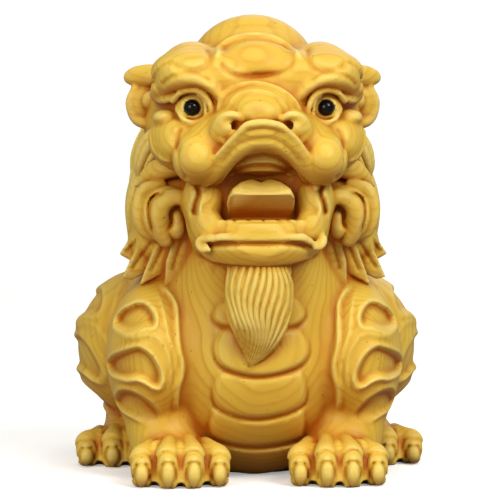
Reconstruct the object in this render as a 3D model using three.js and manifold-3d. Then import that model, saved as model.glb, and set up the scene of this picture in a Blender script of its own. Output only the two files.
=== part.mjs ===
// A small qilin carved in the round from one block of boxwood, squatting on four clawed paws, with a
// bead let into each eye socket. Millimetres, +Z up, the face looks along -Y, and the origin is on the
// floor under the middle of the figure. A side is written once and made twice, with side = 1 for +X.
import * as THREE from "three";
import { mergeVertices } from "three/addons/utils/BufferGeometryUtils.js";
import Module from "manifold-3d";

const wasm = await Module();
wasm.setup();

// Driving dimensions
const HEIGHT = 85; // floor to the top of the crest
const HALF_WIDTH = 33.2; // centre line to the widest point of a haunch
const BEAD_RADIUS = 1.5; // black eye bead
const SOCKET_GAP = 0.3; // all round the bead
const BEAD_SET = 0.6; // the bead's middle lies this far behind the front of the eyeball
const PLATE_STEP = 0.6; // each belly plate stands this far off the belly
const SCOOP_DEPTH = 0.9; // floor of a scooped panel below the leg's skin
const TOE_PITCH = 4.4; // between the middles of neighbouring toes
const SIDES = [1, -1];

// The egg-shaped masses: the middle, the half axes along X, Y and Z, and how finely each is faceted
const BELLY = { at: [0, 2, 23], half: [25.3, 31.3, 25.8], facets: 2 };
const CHEST = { at: [0, -5, 35], half: [19.4, 23.4, 13.4], facets: 1 };
const RUMP = { at: [0, 15.4, 29], half: [23.4, 23.6, 17], facets: 1 };
const SHOULDER = { at: [18.4, -13, 22], half: [8.9, 15.5, 14], facets: 2 };
const HAUNCH = { at: [19.8, 13, 21.9], half: [HALF_WIDTH - 19.6, 19.5, 14.7], facets: 2 };
const THROAT = { at: [0, -17.5, 41], half: [12, 14.5, 9], facets: 1 };
const NAPE = { at: [0, 1, 55], half: [19.5, 16.5, 20], facets: 1 };
const SKULL = { at: [0, -9, 64.5], half: [20.4, 19.8, 14.8], facets: 1 };
const FOREHEAD = { at: [0, -18.5, 70], half: [18.8, 13.8, 8.6], facets: 1 };
const MUZZLE = { at: [0, -25, 60.5], half: [14.4, 14.2, 11.2], facets: 1 };
const GULLET = { at: [0, -17, 51], half: [13.6, 14, 12.6], facets: 0 };
const CREST = { at: [0, -7.5, 73.6], half: [12.2, 12.8, HEIGHT - 73.4], facets: 2 };
const TEMPLE = { at: [12.4, -14.5, 75.6], half: [6, 8, 4.8], facets: 1 };
const EYEBALL = { at: [12, -26.4, 67.8], half: [3.7, 3.7, 3.7], facets: 1 };
const CHEEK = { at: [11, -31.6, 59.8], half: [4.2, 4.8, 5.2], facets: 1 };
const JOWL = { at: [16.2, -24, 62.3], half: [3.7, 4.8, 4.4], facets: 1 };
const JAW_WALL = { at: [11.8, -24.5, 50.5], half: [3.6, 9, 9.4], facets: 0 };
const BRIDGE = { at: [0.2, -31, 68.2], half: [7.5, 6.2, 4.8], facets: 1 };
const NOSE_TIP = { at: [-0.1, -37.6, 66.8], half: [4.2, 4.1, 2.9], facets: 1 };
const NOSE_WING = { at: [5.6, -35.6, 64.6], half: [2.9, 3, 2.6], facets: 1 };
const NOSTRIL = { at: [5.6, -39.2, 64.8], half: [1.1, 1.8, 0.75], facets: 0 };
const BROW_LUMP = { at: [-1, -25.8, 76.4], half: [5.5, 3.6, 2.6], facets: 1 };
const TONGUE = { at: [0, -30, 50.8], half: [5.9, 6, 4], facets: 1 };
const CHIN_ROUND = { at: [0, -20, 45], half: [14.5, 17, 12], facets: 1 };
const RUFF = { at: [13.6, -12.5, 48], half: [9.8, 12, 9], facets: 1 };
const TAIL_ROOT = { at: [0, 35, 12.5], half: [5, 5, 5.5], facets: 1 };

// Solids from three.js geometry

// A closed geometry as a solid: only the positions are kept, and faces without area are dropped.
function solid(geometry) {
  const bare = new THREE.BufferGeometry();
  bare.setAttribute("position", geometry.getAttribute("position"));
  bare.setIndex(geometry.getIndex());
  const merged = mergeVertices(bare, 1e-4);
  const corner = merged.index.array;
  const kept = [];
  for (let i = 0; i < corner.length; i += 3) {
    const [a, b, c] = corner.slice(i, i + 3);
    if (a !== b && b !== c && c !== a) kept.push(a, b, c);
  }
  const vertProperties = new Float32Array(merged.attributes.position.array);
  const triVerts = new Uint32Array(kept);
  return new wasm.Manifold(new wasm.Mesh({ numProp: 3, vertProperties, triVerts }));
}

function join(...pieces) {
  return pieces.flat().reduce((whole, piece) => whole.add(piece));
}

function mirrored([x, y, z], side) {
  return [side * x, y, z];
}

// An egg from the list above, on one side, with every half axis made longer by some millimetres.
function egg({ at, half, facets }, side = 1, grown = 0) {
  const shell = new THREE.IcosahedronGeometry(1, facets);
  shell.scale(...half.map((h) => h + grown)).translate(...mirrored(at, side));
  return solid(shell);
}

function radiusAt(radii, t) {
  const place = t * (radii.length - 1);
  const low = Math.min(Math.floor(place), radii.length - 2);
  return THREE.MathUtils.lerp(radii[low], radii[low + 1], place - low);
}

// A round-ended strand along a smooth curve through points, with a radius for each point. Its
// thickness towards the face direction is flat times its width, and every second side is sunk by
// groove, as a share of the radius.
function strand({ points, radii, sides = 5, rings = 5, flat = 1, groove = 0, face = [0, -1, 0.2] }) {
  const path = new THREE.CatmullRomCurve3(points.map((p) => new THREE.Vector3(...p)));
  const profile = [];
  for (let i = 0; i <= rings; i++) {
    const t = (1 - Math.cos((Math.PI * i) / rings)) / 2;
    profile.push(new THREE.Vector2(Math.sqrt(Math.max(0, 1 - (2 * t - 1) ** 6)), t));
  }
  profile[0].x = 0;
  profile[rings].x = 0;
  const rod = new THREE.LatheGeometry(profile, sides);
  const spot = rod.getAttribute("position");
  for (let i = 0; i < spot.count; i++) {
    const t = THREE.MathUtils.clamp(spot.getY(i), 0, 1);
    const sunk = Math.floor(i / (rings + 1)) % 2 ? 1 - groove : 1;
    const along = path.getTangent(t);
    const out = new THREE.Vector3(...face).projectOnPlane(along).normalize();
    const across = new THREE.Vector3().crossVectors(along, out);
    const radius = radiusAt(radii, t) * sunk;
    const bent = path.getPoint(t);
    bent.addScaledVector(across, spot.getX(i) * radius);
    bent.addScaledVector(out, spot.getZ(i) * radius * flat);
    spot.setXYZ(i, bent.x, bent.y, bent.z);
  }
  return solid(rod);
}

// The same strand on one side of the figure.
function sideStrand(side, form) {
  const face = mirrored(form.face ?? [0, -1, 0.2], side);
  return strand({ ...form, points: form.points.map((p) => mirrored(p, side)), face });
}

// A strand across the middle: its points and radii run from the end at -X to the centre line.
function archStrand(form) {
  const back = (list) => list.slice(0, -1).reverse();
  const far = back(form.points).map((p) => mirrored(p, -1));
  return strand({ ...form, points: [...form.points, ...far], radii: [...form.radii, ...back(form.radii)] });
}

// A prism whose outline is drawn as seen from the front, x to the right and z up, from y1 back to y2.
function frontPrism(shape, y1, y2) {
  const bar = new THREE.ExtrudeGeometry(shape, { depth: y2 - y1, bevelEnabled: false, curveSegments: 4 });
  return solid(bar.rotateX(Math.PI / 2).translate(0, y2, 0));
}

// Trunk: belly, chest and rump, with the broad plates that lap down the belly

const PLATES = [
  { top: 36.6, foot: 28.4, half: 7.6 },
  { top: 28, foot: 19.5, half: 9.1 },
  { top: 19.1, foot: 11.3, half: 9 },
  { top: 10.9, foot: 4.2, half: 8.7 },
];
const PLATE_SAG = 1.9; // the foot of a plate hangs this much lower in the middle than at its ends
const PLATE_BULGE = 0.6; // and its sides swell this much

function plateOutline({ top, foot, half }) {
  const narrow = half - PLATE_BULGE;
  const ends = foot + PLATE_SAG;
  const middle = (top + foot) / 2;
  const shape = new THREE.Shape();
  shape.moveTo(-narrow, top);
  shape.quadraticCurveTo(0, top - PLATE_SAG, narrow, top);
  shape.lineTo(half, middle);
  shape.lineTo(narrow, ends);
  shape.quadraticCurveTo(0, foot - PLATE_SAG, -narrow, ends);
  shape.lineTo(-half, middle);
  return shape;
}

function trunk() {
  const raised = join(egg(BELLY, 1, PLATE_STEP), egg(CHEST, 1, PLATE_STEP));
  const plates = PLATES.map((plate) => raised.intersect(frontPrism(plateOutline(plate), -40, -15)));
  return join([BELLY, CHEST, RUMP, THROAT].map((form) => egg(form)), plates);
}

// Legs: each upper leg is an egg with three scooped panels, over a shin and a paw

// A panel seen square on: its middle outwards and up from the egg's, its half axes and its lean.
const PANELS = [
  { out: 0.2, up: 8.6, half: [3.6, 2.2], lean: 12 },
  { out: 0.4, up: -0.4, half: [4.7, 3.3], lean: -6 },
  { out: -0.4, up: -8, half: [3.7, 2.4], lean: -28 },
];

// The panels face away from the leg's middle at an angle from straight ahead, in degrees.
function upperLeg(form, side, facing) {
  const scoops = PANELS.map(({ out, up, half, lean }) => {
    const outline = new THREE.Shape();
    const turn = THREE.MathUtils.degToRad(-side * lean);
    outline.absellipse(side * out, up, ...half, 0, 2 * Math.PI, false, turn);
    const bar = new THREE.ExtrudeGeometry(outline, { depth: 30, bevelEnabled: false, curveSegments: 4 });
    bar.rotateX(Math.PI / 2).rotateZ(side * THREE.MathUtils.degToRad(facing));
    return solid(bar.translate(...mirrored(form.at, side)));
  });
  return egg(form, side).subtract(join(scoops).subtract(egg(form, side, -SCOOP_DEPTH)));
}

// A paw is a bar turned with one swell for each toe, laid across the foot and drawn out forwards.
const TOES = [-1.5, -0.5, 0.5, 1.5];
const TOE_GROOVE = 0.2; // share of the bar's radius
const OUTER_TOE_SHORTER = 0.1;
const STEPS_PER_TOE = 3;
const PAW_SIDES = 8;
const FORE_PAW = { at: [14.5, -24.4], reach: 10.8, tall: 9, splay: 0.006 };
const HIND_PAW = { at: [23.8, 5.4], reach: 9.6, tall: 7.6, splay: 0.012 };
const CLAW = { reach: 0.92, at: 2, radius: 1.7, long: 4.6, lean: 2.8 };

function paw({ at: [x, y], reach, tall, splay }, side) {
  const steps = TOES.length * STEPS_PER_TOE;
  const share = (n) => 1 - OUTER_TOE_SHORTER * n * n;
  const profile = Array.from({ length: steps + 1 }, (_, i) => {
    const n = i / STEPS_PER_TOE - TOES.length / 2;
    const swell = Math.sqrt(Math.abs(Math.sin(Math.PI * n)));
    return new THREE.Vector2(share(n) * (1 - TOE_GROOVE * (1 - swell)), n * TOE_PITCH);
  });
  const ends = [profile[0], profile[steps]].map((end) => new THREE.Vector2(0, end.y));
  const bar = new THREE.LatheGeometry([ends[0], ...profile, ends[1]], PAW_SIDES);
  bar.rotateZ(-Math.PI / 2).scale(1, reach, tall);
  const spot = bar.getAttribute("position");
  for (let i = 0; i < spot.count; i++) {
    spot.setX(i, spot.getX(i) * (1 - splay * spot.getY(i)));
  }
  const claws = TOES.map((n) => {
    const at = [side * x + n * TOE_PITCH * (1 + splay * reach), y - CLAW.reach * reach * share(n), CLAW.at];
    const spike = new THREE.ConeGeometry(CLAW.radius, CLAW.long, 4).rotateX(CLAW.lean);
    return solid(spike.translate(...at));
  });
  return join(solid(bar.translate(side * x, y, 0)), claws);
}

const SHIN = {
  points: [[17.5, -15, 16], [16.8, -18, 8], [15.5, -20, 1.5]],
  radii: [7.5, 6.4, 6],
  rings: 4,
};
const HOCK = {
  points: [[20.5, 17, 13], [21.4, 14.5, 6], [23, 7, 3]],
  radii: [6.4, 6, 5.4],
  rings: 4,
};
function foreleg(side) {
  return join(upperLeg(SHOULDER, side, 14), sideStrand(side, SHIN), paw(FORE_PAW, side));
}

function hindleg(side) {
  return join(upperLeg(HAUNCH, side, 58), sideStrand(side, HOCK), paw(HIND_PAW, side));
}

// Head: brows and ears on the skull, and the nose

const BROW = {
  points: [
    [7, -32.6, 69.4],
    [9, -32.2, 72],
    [12.6, -30.4, 73.2],
    [16, -27, 72.3],
    [18, -22.5, 69.4],
  ],
  radii: [1.2, 1.9, 2.3, 2.3, 1.6],
  rings: 7,
};
const EAR_LEAF = {
  points: [[14.5, -13, 73], [20, -10, 73.8], [24, -8, 72]],
  radii: [2.8, 2.7, 1.6],
};
const EAR_CURL = {
  points: [[20.6, -9.5, 71.5], [20.9, -9.8, 68], [19, -11.5, 65], [16, -12.5, 66]],
  radii: [2, 2, 1.9, 1.4],
};
const FOREHEAD_ARCH = {
  points: [[-8, -20.8, 77], [-5, -19.6, 79.6], [0, -18.6, 80.8]],
  radii: [1.1, 1.5, 1.6],
  rings: 7,
};

function skull() {
  const pairs = SIDES.map((side) =>
    join(
      [TEMPLE, EYEBALL, CHEEK, JOWL, JAW_WALL].map((form) => egg(form, side)),
      [BROW, EAR_LEAF, EAR_CURL].map((form) => sideStrand(side, form)),
    ),
  );
  const middle = [SKULL, FOREHEAD, MUZZLE, GULLET, CREST, BROW_LUMP].map((form) => egg(form));
  return join(middle, archStrand(FOREHEAD_ARCH), pairs);
}

function nose() {
  return join(egg(BRIDGE), egg(NOSE_TIP), SIDES.map((side) => egg(NOSE_WING, side)));
}

// Mouth: a lip that arches over the opening, the jaw, its teeth and the tongue

const MOUTH = { floor: 47.6, half: 10.5, cheek: 52.5, roof: 57.6, back: -28 };
const LIP = {
  points: [
    [-12.3, -32, 54.9],
    [-8.6, -35.8, 57.4],
    [-5.2, -38.2, 60.8],
    [-2.4, -39.4, 63],
    [0, -39.8, 63.5],
  ],
  radii: [1.6, 2.8, 3.2, 3.2, 3.2],
  rings: 9,
  sides: 6,
  flat: 0.75,
  face: [0, -1, -0.3],
};
const JAW_LIP = {
  points: [[-11.6, -32, 43.4], [-9.6, -34, 44], [-6.4, -36, 45.1], [0, -37, 45.1]],
  radii: [1.4, 1.6, 1, 1.1],
  rings: 8,
};
const JAW_FOLD = {
  points: [[12.4, -30, 55.4], [12.2, -30.6, 50], [11.8, -31.4, 44.6]],
  radii: [1.5, 1.4, 1.4],
};
const TEETH = [-1.5, -0.5, 0.5, 1.5];
const TOOTH = { size: [3.4, 3, 3.4], pitch: 3.75, front: -34, curve: 0.3, middle: 46.6 };
const CHIN = { half: 12, shoulder: 41.4, foot: 38 };

function mouthOpening() {
  const { floor, half, cheek, roof, back } = MOUTH;
  const arch = new THREE.Shape();
  arch.moveTo(-half, floor);
  arch.lineTo(half, floor);
  arch.lineTo(half, cheek);
  arch.quadraticCurveTo(0.6 * half, roof, 0, roof);
  arch.quadraticCurveTo(-0.6 * half, roof, -half, cheek);
  return frontPrism(arch, -50, back);
}

function jaw() {
  const { half, shoulder, foot } = CHIN;
  const chin = new THREE.Shape();
  chin.moveTo(-half, MOUTH.floor - 3);
  chin.lineTo(1 - half, shoulder);
  chin.quadraticCurveTo(-0.5 * half, foot, 0, foot);
  chin.quadraticCurveTo(0.5 * half, foot, half - 1, shoulder);
  chin.lineTo(half, MOUTH.floor - 3);
  chin.lineTo(half - 0.6, MOUTH.floor);
  chin.lineTo(0.6 - half, MOUTH.floor);
  const block = frontPrism(chin, -37, -14).intersect(egg(CHIN_ROUND));
  return join(block, archStrand(JAW_LIP), SIDES.map((side) => sideStrand(side, JAW_FOLD)));
}

function teeth() {
  const { size, pitch, front, curve, middle } = TOOTH;
  const place = (n) => new THREE.BoxGeometry(...size).translate(n * pitch, front + curve * n * n, middle);
  return join(TEETH.map((n) => solid(place(n))));
}

function head() {
  const outside = join(skull(), nose(), archStrand(LIP), jaw());
  const nostrils = join(SIDES.map((side) => egg(NOSTRIL, side)));
  return join(outside.subtract(mouthOpening()).subtract(nostrils), teeth(), egg(TONGUE));
}

// Beard: one fluted tress that hangs from the chin and tapers to a tip on the second plate

const BEARD = {
  points: [[0, -31.4, 42.5], [0, -30.8, 34.5], [-0.8, -30, 27.5], [-1.7, -29.6, 20.6]],
  radii: [5.8, 6.3, 4.4, 1],
  sides: 14,
  rings: 7,
  flat: 0.62,
  groove: 0.12,
};

// Mane: a wing and a curl beside the jaw, flames below them, and rows of locks down the nape

const SIDE_WING = {
  points: [[16, -17, 64], [19.8, -15.4, 60], [21.4, -14, 52.6]],
  radii: [3, 3.4, 0.7],
};
const SIDE_CURL = {
  points: [
    [19.6, -22, 46.6],
    [18.8, -23.6, 51.4],
    [15.4, -25.2, 51.6],
    [14.8, -25.2, 47.4],
    [17.6, -24.2, 43.2],
  ],
  radii: [1.6, 2.2, 2.5, 2.5, 1.2],
  rings: 8,
};
const FLAMES = [
  { root: [19.5, -11, 49], tip: [25, -9.8, 40.4] },
  { root: [18.5, -14, 46.5], tip: [24.6, -12, 35.6] },
  { root: [16.8, -18.5, 45.5], tip: [20.8, -19.6, 34.8] },
  { root: [14, -22.5, 46], tip: [15.6, -25.4, 36] },
];
const FLAME_BOW = [-0.8, -1.6, 0];
const FLAME = { radii: [2.6, 2.7, 0.5], rings: 4, flat: 0.9 };

function sideMane(side) {
  const flames = FLAMES.map(({ root, tip }) => {
    const middle = root.map((value, i) => (value + tip[i]) / 2 + FLAME_BOW[i]);
    return sideStrand(side, { ...FLAME, points: [root, middle, tip] });
  });
  const curls = [SIDE_WING, SIDE_CURL].map((form) => sideStrand(side, form));
  return join(egg(RUFF, side), curls, flames);
}

// Height where a row of locks starts, how many there are, and how far round the nape they reach.
const MANE_ROWS = [
  { start: 74, count: 3, reach: 76 },
  { start: 62, count: 2, reach: 34 },
  { start: 57, count: 3, reach: 86 },
];
const LOCK_DROP = 15;
const LOCK_LIFT = [0, 0.8, 1.2, 2];
const LOCK_SHARES = [0, 0.45, 0.85, 1];
const LOCK = { radii: [3.4, 5.2, 3.8, 0.7], rings: 4, flat: 0.55 };

// A point on the nape's skin, lifted off it, at an angle round from the back.
function onNape(angle, height, lift) {
  const level = THREE.MathUtils.clamp((height - NAPE.at[2]) / NAPE.half[2], -0.85, 0.85);
  const round = Math.sqrt(1 - level * level);
  const x = (NAPE.half[0] * round + lift) * Math.sin(angle);
  return [x, (NAPE.half[1] * round + lift) * Math.cos(angle) + NAPE.at[1], height];
}

function backMane() {
  const locks = MANE_ROWS.flatMap(({ start, count, reach }) =>
    Array.from({ length: count }, (_, i) => {
      const angle = THREE.MathUtils.degToRad(reach * ((2 * i) / (count - 1) - 1));
      const points = LOCK_SHARES.map((share, k) => onNape(angle, start - share * LOCK_DROP, LOCK_LIFT[k]));
      return strand({ ...LOCK, points, face: [Math.sin(angle), Math.cos(angle), 0] });
    }),
  );
  return join(egg(NAPE), locks);
}

// Back: a ridge down the spine and a flame-shaped tail laid up against the rump

const SPINE = {
  points: [[0, 15, 44.4], [0, 24, 43], [0, 32, 38.2], [0, 37, 31]],
  radii: [2.4, 2.6, 2.4, 1.8],
  face: [0, 0.3, 1],
};
const TAIL = { locks: 3, spread: 7.5, back: 42, tip: 37, outerTip: 30 };
const TAIL_LOCK = { radii: [2.4, 3.8, 3.4, 0.7], face: [0, 1, 0.3] };

function tail() {
  const skin = TAIL.back - 3.4;
  const locks = Array.from({ length: TAIL.locks }, (_, i) => {
    const share = (2 * i) / (TAIL.locks - 1) - 1;
    const top = THREE.MathUtils.lerp(TAIL.tip, TAIL.outerTip, share * share);
    const x = share * TAIL.spread;
    const points = [
      [0.1 * x, skin - 6, 10.5],
      [0.6 * x, skin - 3, 17.5],
      [0.9 * x, skin, 27],
      [x, skin - 1.5, top],
    ];
    return strand({ ...TAIL_LOCK, points });
  });
  return join(locks, egg(TAIL_ROOT));
}

// The whole carving, cut flat where it stands

function beadPlace(side) {
  return [side * EYEBALL.at[0], EYEBALL.at[1] - EYEBALL.half[1] + BEAD_SET, EYEBALL.at[2]];
}

function carving() {
  const limbs = SIDES.map((side) => join(foreleg(side), hindleg(side), sideMane(side)));
  const figure = join(trunk(), limbs, head(), strand(BEARD), backMane(), strand(SPINE), tail());
  const round = BEAD_RADIUS + SOCKET_GAP;
  const socket = { half: [round, round, round], facets: 1 };
  const sockets = SIDES.map((side) => egg({ ...socket, at: beadPlace(side) }));
  const underFloor = solid(new THREE.BoxGeometry(200, 200, 40).translate(0, 0, -20));
  return figure.subtract(join(sockets)).subtract(underFloor);
}

// Meshes

const boxwood = new THREE.MeshStandardMaterial({ color: 0xdba94a, roughness: 0.42, metalness: 0 });
const blackGlass = new THREE.MeshStandardMaterial({ color: 0x0b090a, roughness: 0.08, metalness: 0 });

const qilin = new THREE.Group();
qilin.name = "qilin";

const { vertProperties, triVerts } = carving().getMesh();
const carved = new THREE.BufferGeometry();
carved.setAttribute("position", new THREE.BufferAttribute(new Float32Array(vertProperties), 3));
carved.setIndex(new THREE.BufferAttribute(new Uint32Array(triVerts), 1));
const figure = new THREE.Mesh(carved, boxwood);
figure.name = "carved_qilin";
qilin.add(figure);

for (const side of SIDES) {
  const bead = new THREE.Mesh(new THREE.SphereGeometry(BEAD_RADIUS, 12, 6), blackGlass);
  bead.name = side > 0 ? "left_eye_bead" : "right_eye_bead";
  bead.position.set(...beadPlace(side));
  qilin.add(bead);
}

export default qilin;
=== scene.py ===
"""A boxwood qilin carved in the round, with a black bead let into each eye, on a pale studio floor."""
import math
from collections import namedtuple

import bpy
import numpy as np
from mathutils import Euler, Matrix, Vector


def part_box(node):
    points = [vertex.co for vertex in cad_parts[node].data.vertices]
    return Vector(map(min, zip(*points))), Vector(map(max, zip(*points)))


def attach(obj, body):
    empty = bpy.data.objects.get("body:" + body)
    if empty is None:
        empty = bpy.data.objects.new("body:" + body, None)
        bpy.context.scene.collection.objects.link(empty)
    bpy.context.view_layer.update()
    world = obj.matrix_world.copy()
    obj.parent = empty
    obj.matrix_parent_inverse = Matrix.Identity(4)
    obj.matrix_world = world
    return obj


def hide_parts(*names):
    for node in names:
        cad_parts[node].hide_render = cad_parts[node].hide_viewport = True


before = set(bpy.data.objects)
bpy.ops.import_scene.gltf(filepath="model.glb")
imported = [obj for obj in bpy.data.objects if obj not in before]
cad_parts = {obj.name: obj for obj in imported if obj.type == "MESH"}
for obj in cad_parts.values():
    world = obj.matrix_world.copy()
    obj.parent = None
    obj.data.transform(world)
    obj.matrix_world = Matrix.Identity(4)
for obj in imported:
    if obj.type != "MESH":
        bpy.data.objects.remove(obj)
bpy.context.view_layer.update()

bl_info = {
    "name": "Carved wood qilin",
    "version": (1, 0, 0),
    "blender": (4, 5, 0),
    "location": "3D View > Sidebar > Qilin",
    "description": "Builds a small carved boxwood qilin and the studio it stands in",
    "category": "Add Mesh",
}

MM = 0.001
SIDES = (1, -1)

# The block of wood, in millimetres

BLOCK_LOW = (-34.6, -43.6, -1.2)
BLOCK_HIGH = (34.6, 43.6, 86.6)
FAR = 9.0
BAND = 1.4  # relief reaches this far either side of the skin
ROOM = 1.5  # how far round a form its seam with the wood is worked out
MARGIN = 3  # how far round a drawn line its relief is worked out
THINNEST = 0.05
LEVEL = 1e-6  # stands in for a slope or a length of nought
LEAST = 1e-9  # keeps a sum from dividing by nought
PROBE = (70, 0.15)  # how far back a line looks for wood, and in what steps
WRAP = 12.0  # millimetres on a leg's drawing to one turn of its angle, in radians
WRAP_REACH = 2.2
SWAY = (9.0, 5.0)  # how fast a lock's ribs sway along it and across it


def smooth(points, steps=6):
    """A smooth row of points through the given ones, with any radius carried along as one more number."""
    rows = np.array(points, float)
    if len(rows) < 3:
        share = np.linspace(0, 1, steps + 1)[:, None]
        return rows[0] + share * (rows[-1] - rows[0])
    rows = np.vstack([2 * rows[0] - rows[1], rows, 2 * rows[-1] - rows[-2]])
    made = []
    for a, b, c, d in zip(rows, rows[1:], rows[2:], rows[3:]):
        pace, bend, twist = c - a, 2 * a - 5 * b + 4 * c - d, 3 * b - a - 3 * c + d
        for t in np.arange(steps) / steps:
            made.append(0.5 * (2 * b + pace * t + bend * t**2 + twist * t**3))
    made.append(rows[-2])
    return np.array(made)


def ring(points, steps=6):
    """A smooth closed outline through the given points."""
    rows = [points[-1], *points, points[0], points[1]]
    return smooth(rows, steps)[steps : -steps]


def measure(u, v, line, closed=False):
    """How far points lie from a drawn line, signed by side (below nought inside), and how far along it."""
    best = np.full(u.shape, np.inf, np.float32)
    side = np.ones(u.shape, np.float32)
    along = np.zeros(u.shape, np.float32)
    outside = np.ones(u.shape, bool)
    for i, ((au, av), (bu, bv)) in enumerate(zip(line, line[1:])):
        du, dv = bu - au, bv - av
        t = np.clip(((u - au) * du + (v - av) * dv) / (du * du + dv * dv + LEAST), 0, 1)
        gap = (u - au - t * du) ** 2 + (v - av - t * dv) ** 2
        closer = gap < best
        best = np.where(closer, gap, best)
        along = np.where(closer, (i + t) / (len(line) - 1), along)
        if closed:
            crosses = (av > v) != (bv > v)
            outside ^= crosses & (u < au + (v - av) * du / (dv or LEAST))
        else:
            side = np.where(closer, np.sign(du * (v - av) - dv * (u - au)), side)
    if closed:
        side = np.where(outside, 1.0, -1.0)
    return np.sqrt(best) * side, along


def ease(value):
    """Nought to one, slow at both ends."""
    value = np.clip(value, 0, 1)
    return value * value * (3 - 2 * value)


def groove(depth, width, taper=0.12):
    """A round-bottomed line, or a ridge where depth is below nought, that fades out at its ends."""

    def shape(gap, along):
        fade = ease(np.minimum(along, 1 - along) / taper) if taper else 1.0
        return depth * np.exp(-((gap / width) ** 2)) * fade

    return shape


def hollow(depth, slope, rim, rim_width):
    """A scooped floor inside an outline, with a raised rim round it."""

    def shape(gap, along):
        floor = depth * (1 - np.exp(-((np.minimum(gap, 0) / slope) ** 2)))
        return floor - rim * np.exp(-(((gap - 0.6 * rim_width) / rim_width) ** 2))

    return shape


Lock = namedtuple("Lock", "rows face ribs flat wave")


class Block:
    """Wood as signed distances in millimetres on an even grid: below nought is wood."""

    def __init__(self, sizes):
        self.sizes = sizes
        self.step = step = sizes.cell / MM
        self.low = np.array(BLOCK_LOW, np.float32)
        count = np.ceil((np.array(BLOCK_HIGH) - self.low) / step).astype(int) + 1
        self.field = np.full(count, FAR, np.float32)
        self.locks = []

    def window(self, low, high):
        """The part of the grid between two corners, and where its points lie on each axis."""
        part, axes = [], []
        for a, b, origin, count in zip(low, high, self.low, self.field.shape):
            first = max(int((a - origin) / self.step), 0)
            last = max(min(int((b - origin) / self.step) + 2, count), first)
            part.append(slice(first, last))
            axes.append(origin + self.step * np.arange(first, last, dtype=np.float32))
        return tuple(part), np.meshgrid(*axes, indexing="ij", sparse=True)

    def merge(self, part, solid, soft, cut=False):
        """Joins a form to the wood, or cuts it away, with a soft seam."""
        sign = -1 if cut else 1
        old = sign * self.field[part]
        over = np.maximum(soft - np.abs(old - solid), 0)
        self.field[part] = sign * (np.minimum(old, solid) - over * over / (4 * soft))

    def egg(self, at, half, soft=0.8, turn=(0, 0, 0), side=1, cut=False):
        """An egg-shaped lump or hollow, turned by degrees about X, Y and Z."""
        at = np.array(at, float) * (side, 1, 1)
        half = np.array(half, float)
        rx, ry, rz = (math.radians(angle) for angle in turn)
        axes = np.array(Euler((rx, side * ry, side * rz)).to_matrix())
        reach = np.sqrt((axes**2) @ (half**2)) + soft + ROOM
        part, (x, y, z) = self.window(at - reach, at + reach)
        x, y, z = x - at[0], y - at[1], z - at[2]
        local = [x * axes[0, i] + y * axes[1, i] + z * axes[2, i] for i in range(3)]
        near = np.sqrt(sum((c / h) ** 2 for c, h in zip(local, half)))
        slope = np.sqrt(sum((c / (h * h)) ** 2 for c, h in zip(local, half))) + LEVEL
        self.merge(part, near * (near - 1) / slope, soft, cut)

    def bar(self, low, high, round_by, soft):
        """A block with rounded edges between two corners."""
        low, high = np.array(low, float), np.array(high, float)
        middle = (low + high) / 2
        half = (high - low) / 2 - round_by
        reach = half + round_by + soft + ROOM
        part, axes = self.window(middle - reach, middle + reach)
        over = [np.abs(c - m) - h for c, m, h in zip(axes, middle, half)]
        outer = np.sqrt(sum(np.maximum(c, 0) ** 2 for c in over))
        inner = np.minimum(np.maximum(np.maximum(over[0], over[1]), over[2]), 0)
        self.merge(part, outer + inner - round_by, soft)

    def strand(self, points, soft=0.8, flat=1.0, face=(0, -1, 0.2), side=1, comb=(0, 0), wave=0, cut=False):
        """A lock along points that end in a radius, with comb ribs of some depth laid along it."""
        rows = smooth([(side * x, y, z, r) for x, y, z, r in points])
        count, depth = comb
        face = np.array(face, float) * (side, 1, 1)
        reach = rows[:, 3].max() + soft + ROOM
        part, _ = self.window(rows[:, :3].min(0) - reach, rows[:, :3].max(0) + reach)
        lump = np.full(self.field[part].shape, FAR, np.float32)
        nearest, ribbing = lump.copy(), np.zeros_like(lump)
        start = [s.start for s in part]
        for i, (a, b) in enumerate(zip(rows, rows[1:])):
            along = b[:3] - a[:3]
            length = np.linalg.norm(along)
            if length < LEVEL:
                continue
            along = along / length
            out = face - face.dot(along) * along
            out /= np.linalg.norm(out)
            wide = np.cross(along, out)
            reach = max(a[3], b[3]) + soft + ROOM
            here, (x, y, z) = self.window(np.minimum(a, b)[:3] - reach, np.maximum(a, b)[:3] + reach)
            inner = tuple(slice(s.start - o, s.stop - o) for s, o in zip(here, start))
            x, y, z = x - a[0], y - a[1], z - a[2]
            run = np.clip((x * along[0] + y * along[1] + z * along[2]) / length, 0, 1)
            x, y, z = x - run * length * along[0], y - run * length * along[1], z - run * length * along[2]
            high = x * out[0] + y * out[1] + z * out[2]
            radius = np.maximum(a[3] + run * (b[3] - a[3]), THINNEST)
            off = np.sqrt(x * x + y * y + z * z + high * high * (1 / flat**2 - 1))
            lump[inner] = np.minimum(lump[inner], off - radius)
            if depth:
                across = (x * wide[0] + y * wide[1] + z * wide[2]) / radius
                bend = wave * np.sin(SWAY[0] * (i + run) / (len(rows) - 1) + SWAY[1] * across / 2)
                between = 1 - np.abs(np.cos((across + bend) * count * math.pi / 2))
                closer = off < nearest[inner]
                nearest[inner] = np.where(closer, off, nearest[inner])
                ribbing[inner] = np.where(closer, between, ribbing[inner])
        self.merge(part, lump + depth * ribbing, soft, cut)
        if depth:
            self.locks.append(Lock(rows, face, count, flat, wave))

    def meet(self, x, z):
        """How far back the front's skin lies at a place on it."""
        steps = BLOCK_LOW[1] + np.arange(0, *PROBE)
        places = np.stack([np.full(len(steps), x), steps, np.full(len(steps), z)], axis=1)
        return steps[np.argmax(self.sample(self.field, places) < 0)]

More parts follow.
